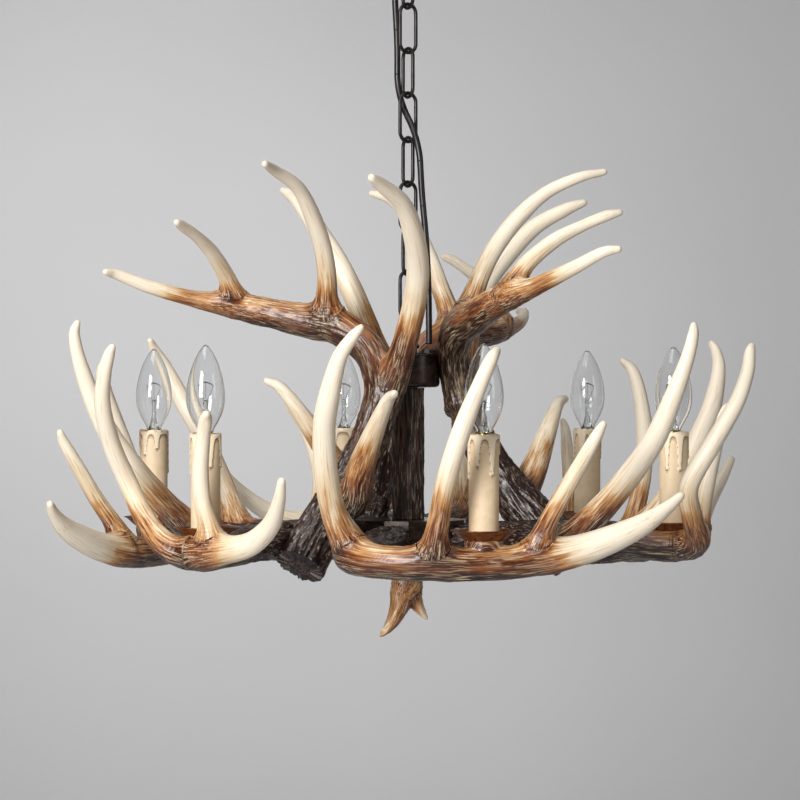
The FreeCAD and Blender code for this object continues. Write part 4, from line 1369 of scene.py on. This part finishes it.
class CHANDELIER_OT_sleeves(bpy.types.Operator):
    """Make the candle sleeves with their wax runs"""

    bl_idname = "chandelier.sleeves"
    bl_label = "Candle sleeves"

    def execute(self, context):
        look = group("candle_settings")
        wax = finish_of(waxed_card)
        rows = 150
        around = 140
        a = np.arange(around) * 2 * math.pi / around
        for number in range(1, LAMP_COUNT + 1):
            node = "candle_sleeve_%d" % number
            low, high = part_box(node)
            centre = lamp_centre(number)
            runs = wax_runs(np.random.default_rng(70 + number))
            z = np.linspace(low.z, high.z, rows)
            grid_a, grid_z = np.meshgrid(a, z)
            depth = high.z - grid_z
            inside = wax_field(grid_a, depth, runs)
            lift = wax_lift(grid_a, depth, inside, runs)
            step_up = np.clip(depth / (1.5 * MM), 0, 1)
            out = SLEEVE_RADIUS + look.drip_height * lift * (0.35 + 0.65 * step_up)
            ragged = value_noise(np.stack([np.cos(grid_a).ravel() * 4, np.sin(grid_a).ravel() * 4,
                                           np.full(grid_a.size, number)], 1) + 8, 81)
            top_drop = (ragged.reshape(grid_a.shape) - 0.5) * 1.8 * MM
            near_top = np.clip(1 - depth / (6 * MM), 0, 1)
            height = grid_z - near_top * (0.9 * MM - top_drop) * 0.8
            points = np.stack([centre.x + out * np.cos(grid_a), centre.y + out * np.sin(grid_a),
                               height], 2).reshape(-1, 3)
            lip = points[-around:].copy()
            middle = np.array([centre.x, centre.y])
            lip[:, :2] = middle + (lip[:, :2] - middle) * SLEEVE_BORE / SLEEVE_RADIUS
            foot = np.stack([centre.x + SLEEVE_BORE * np.cos(a),
                             centre.y + SLEEVE_BORE * np.sin(a), np.full(around, low.z)], 1)
            sleeve = object_from("sleeve_%d" % number, np.vstack([points, lip, foot]),
                                 ring_faces(rows + 2, around, closed=True))
            patch = value_noise(np.stack([out * np.cos(grid_a), out * np.sin(grid_a), grid_z],
                                         2).reshape(-1, 3) / (3 * MM), 83 + number)
            stain = wax_stain(number, grid_a, depth, inside, patch.reshape(grid_a.shape))
            extra = np.zeros(2 * around)
            attribute(sleeve.data, "stain", np.concatenate([stain.ravel(), extra + 0.15]))
            attribute(sleeve.data, "raised", np.concatenate([np.clip(lift, 0, 1).ravel(), extra]))
            coat(sleeve, wax)
            place(sleeve, "fixture", "wax_card", node)
        return {"FINISHED"}


class CHANDELIER_OT_lamps(bpy.types.Operator):
    """Make the clear candle lamps with their stems, wires and screw caps"""

    bl_idname = "chandelier.lamps"
    bl_label = "Lamps"

    def execute(self, context):
        clear = finish_of(blown_glass, "blown_glass_clear", "FBFCFC")
        stem_glass = finish_of(blown_glass, "drawn_glass_stem", "EEF4F2")
        wire = finish_of(drawn_tungsten)
        brass = finish_of(pressed_brass)
        for number in range(1, LAMP_COUNT + 1):
            body = "lamp_%d" % number
            low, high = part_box("bulb_%d" % number)
            centre = lamp_centre(number)
            base = low.z
            tall = high.z - low.z
            place_at = (centre.x, centre.y)
            outline = candle_outline(17.4 * MM, tall - 0.3 * MM)
            outside = [(r, base + z) for r, z in outline]
            wall = 0.7 * MM
            inside = [(max(r - wall, 0.02 * MM), min(z, tall - 3 * wall) + base + 0.2 * MM)
                      for r, z in outline[::-1]]
            glass = lathe("glass_%d" % number, outside + inside, place_at, 72)
            coat(glass, clear)
            place(glass, body, "clear_glass", "bulb_%d" % number)
            stem = lathe("glass_stem_%d" % number,
                         [(5.2 * MM, base + 0.5 * MM), (3.4 * MM, base + 6 * MM),
                          (2.1 * MM, base + 12 * MM), (1.7 * MM, base + 24 * MM),
                          (2.5 * MM, base + 26 * MM), (1.2 * MM, base + 28 * MM)],
                         place_at, 32, closed=False)
            coat(stem, stem_glass)
            place(stem, body, "clear_glass")
            wires = lamp_wires(centre, base)
            coat(wires, wire)
            wires.name = "lamp_wires_%d" % number
            place(wires, body, "plated_steel")
            cap = screw_cap("screw_cap_%d" % number, place_at, "lamp_cap_%d" % number)
            coat(cap, brass)
            place(cap, body, "cap_brass", "lamp_cap_%d" % number)
        return {"FINISHED"}


def candle_outline(radius, tall):
    """Outline of a candle bulb from neck to tip, as (radius, height) from its base."""
    shares = ((0.40, 0.0), (0.46, 0.04), (0.62, 0.10), (0.82, 0.19), (0.95, 0.28), (1.0, 0.38),
              (0.985, 0.48), (0.92, 0.58), (0.81, 0.68), (0.66, 0.78), (0.47, 0.87), (0.30, 0.935),
              (0.16, 0.978), (0.02, 1.0))
    return [(max(r, 0.01) * radius, z * tall) for r, z in smooth_path(shares, 4)]


def lamp_wires(centre, base):
    """Two lead wires, a support and the zigzag filament of a lamp."""
    x, y = centre.x, centre.y
    parts = []
    for side in (-1, 1):
        path = [(x + side * 1.2 * MM, y, base + 22 * MM), (x + side * 1.6 * MM, y, base + 28 * MM),
                (x + side * 5.0 * MM, y, base + 36 * MM), (x + side * 7.0 * MM, y, base + 41 * MM)]
        parts.append(tube("lead", smooth_path(path, 6), 0.28 * MM, 8))
    hook = [(x, y, base + 27 * MM), (x, y + 1 * MM, base + 36 * MM), (x, y, base + 44 * MM)]
    parts.append(tube("hook", smooth_path(hook, 6), 0.22 * MM, 8))
    coil = []
    turns = 26
    for k in range(turns * 8 + 1):
        t = k / (turns * 8)
        a = 2 * math.pi * turns * t
        lift = 3.0 * MM * math.sin(math.pi * t)
        coil.append((x + (-7 + 14 * t) * MM, y + 0.7 * MM * math.cos(a),
                     base + 41 * MM + lift + 0.7 * MM * math.sin(a)))
    parts.append(tube("filament", coil, 0.12 * MM, 5))
    return join("lamp_wires", parts)


def screw_cap(name, centre, node):
    """Rolled brass cap of a lamp with a rounded thread and its contact."""
    low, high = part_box(node)
    radius = 6.7 * MM
    profile = [(2.0 * MM, low.z + 0.2 * MM), (2.4 * MM, low.z + 1.5 * MM),
               (5.6 * MM, low.z + 3.2 * MM)]
    crest = low.z + 4 * MM
    pitch = 2.8 * MM
    while crest < high.z - 3 * MM:
        profile += [(radius - 0.7 * MM, crest), (radius, crest + pitch * 0.5)]
        crest += pitch
    profile += [(radius - 0.7 * MM, crest), (radius - 0.2 * MM, high.z - 0.4 * MM),
                (radius - 0.6 * MM, high.z - 0.05 * MM)]
    return lathe(name, round_stops(profile, 0.7 * MM, 3), centre, 40, closed=False)


# ---------------------------------------------------------------- stage

class CHANDELIER_OT_stage(bpy.types.Operator):
    """Set up the backdrop, the lights and the camera"""

    bl_idname = "chandelier.stage"
    bl_label = "Studio"

    def execute(self, context):
        look = group("stage_settings")
        # Level with the fixture and about 3 m away, as the near and far lamps' sizes show.
        eye = Vector((0, -2.985, -0.4713))
        camera_data = bpy.data.cameras.new("photo_camera")
        camera_data.lens = look.lens
        camera_data.sensor_width = 36
        camera_data.shift_x = -8 / 800
        camera_data.shift_y = -6.2 / 800
        camera_data.clip_end = 50
        camera = bpy.data.objects.new("photo_camera", camera_data)
        camera.location = eye
        camera.rotation_euler = (math.pi / 2, 0, 0)
        context.scene.collection.objects.link(camera)
        context.scene.camera = camera

        self.backdrop(look, eye)
        self.lights(context)
        return {"FINISHED"}

    def backdrop(self, look, eye):
        """Floor and wall in one sweep of paper."""
        floor = eye.z - look.floor_drop
        wall = look.wall_distance
        bend = 0.6
        outline = [(-5.0, floor), (wall - bend, floor)]
        for k in range(1, 16):
            a = math.pi / 2 * k / 16
            outline.append((wall - bend + bend * math.sin(a), floor + bend * (1 - math.cos(a))))
        outline += [(wall, floor + bend), (wall, floor + 4.5)]
        points = []
        for x in (-6, 6):
            points += [(x, y, z) for y, z in outline]
        count = len(outline)
        faces = [(k, count + k, count + k + 1, k + 1) for k in range(count - 1)]
        paper = object_from("paper_sweep", points, faces)
        coat(paper, finish_of(seamless_paper))

    def lights(self, context):
        """Tall softboxes either side, one overhead, one that washes the wall, a dim surround."""
        target = Vector((0, 0, -0.45))
        behind = Vector((-0.2, 2.5, -0.4))
        for name, spot, aim, size, power, spread in (
                ("softbox_left", (-1.3, -2.55, 0.25), target, (0.9, 1.7), 102, 180),
                ("softbox_right", (2.1, -1.5, 0.1), target, (0.7, 1.5), 5, 180),
                ("softbox_top", (-0.5, -0.6, 1.5), target, (1.5, 1.5), 18, 180),
                ("wall_wash", (-1.9, 0.2, 0.4), behind, (0.9, 0.9), 4.4, 48)):
            data = bpy.data.lights.new(name, "AREA")
            data.shape = "RECTANGLE"
            data.size, data.size_y = size
            data.energy = power
            data.spread = math.radians(spread)
            lamp = bpy.data.objects.new(name, data)
            lamp.location = spot
            lamp.rotation_euler = (aim - Vector(spot)).to_track_quat("-Z", "Y").to_euler()
            context.scene.collection.objects.link(lamp)
        world = bpy.data.worlds.new("studio_surround")
        context.scene.world = world
        world.use_nodes = True
        background = world.node_tree.nodes["Background"]
        background.inputs["Color"].default_value = linear("E9EAEC")
        background.inputs["Strength"].default_value = 0.14
        context.scene.view_settings.view_transform = "Standard"


# ---------------------------------------------------------------- panel and run

STEPS = (CHANDELIER_OT_stage, CHANDELIER_OT_cord, CHANDELIER_OT_upper_antlers,
         CHANDELIER_OT_lower_antlers, CHANDELIER_OT_finial, CHANDELIER_OT_column,
         CHANDELIER_OT_chain, CHANDELIER_OT_canopy, CHANDELIER_OT_cap, CHANDELIER_OT_fittings,
         CHANDELIER_OT_pans, CHANDELIER_OT_sleeves, CHANDELIER_OT_lamps)


class CHANDELIER_PT_panel(bpy.types.Panel):
    """The steps that dress the chandelier"""

    bl_idname = "CHANDELIER_PT_panel"
    bl_label = "Antler Chandelier"
    bl_space_type = "VIEW_3D"
    bl_region_type = "UI"
    bl_category = "Chandelier"

    def draw(self, context):
        for step in STEPS:
            self.layout.operator(step.bl_idname)
        for name, settings in GROUPS.items():
            box = self.layout.box()
            for key in settings.__annotations__:
                box.prop(getattr(context.scene, name), key)


GROUPS = {"antler_settings": AntlerSettings, "metal_settings": MetalSettings,
          "candle_settings": CandleSettings, "stage_settings": StageSettings}


def register():
    """Add the settings, the steps and the panel."""
    for name, settings in GROUPS.items():
        bpy.utils.register_class(settings)
        setattr(bpy.types.Scene, name, bpy.props.PointerProperty(type=settings))
    for cls in (*STEPS, CHANDELIER_PT_panel):
        bpy.utils.register_class(cls)


def unregister():
    """Take away what register added."""
    for cls in (CHANDELIER_PT_panel, *reversed(STEPS)):
        bpy.utils.unregister_class(cls)
    for name, settings in reversed(GROUPS.items()):
        delattr(bpy.types.Scene, name)
        bpy.utils.unregister_class(settings)


def main():
    """Run every step."""
    register()
    for step in STEPS:
        category, name = step.bl_idname.split(".")
        getattr(getattr(bpy.ops, category), name)()
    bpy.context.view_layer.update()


if __name__ == "__main__":
    main()
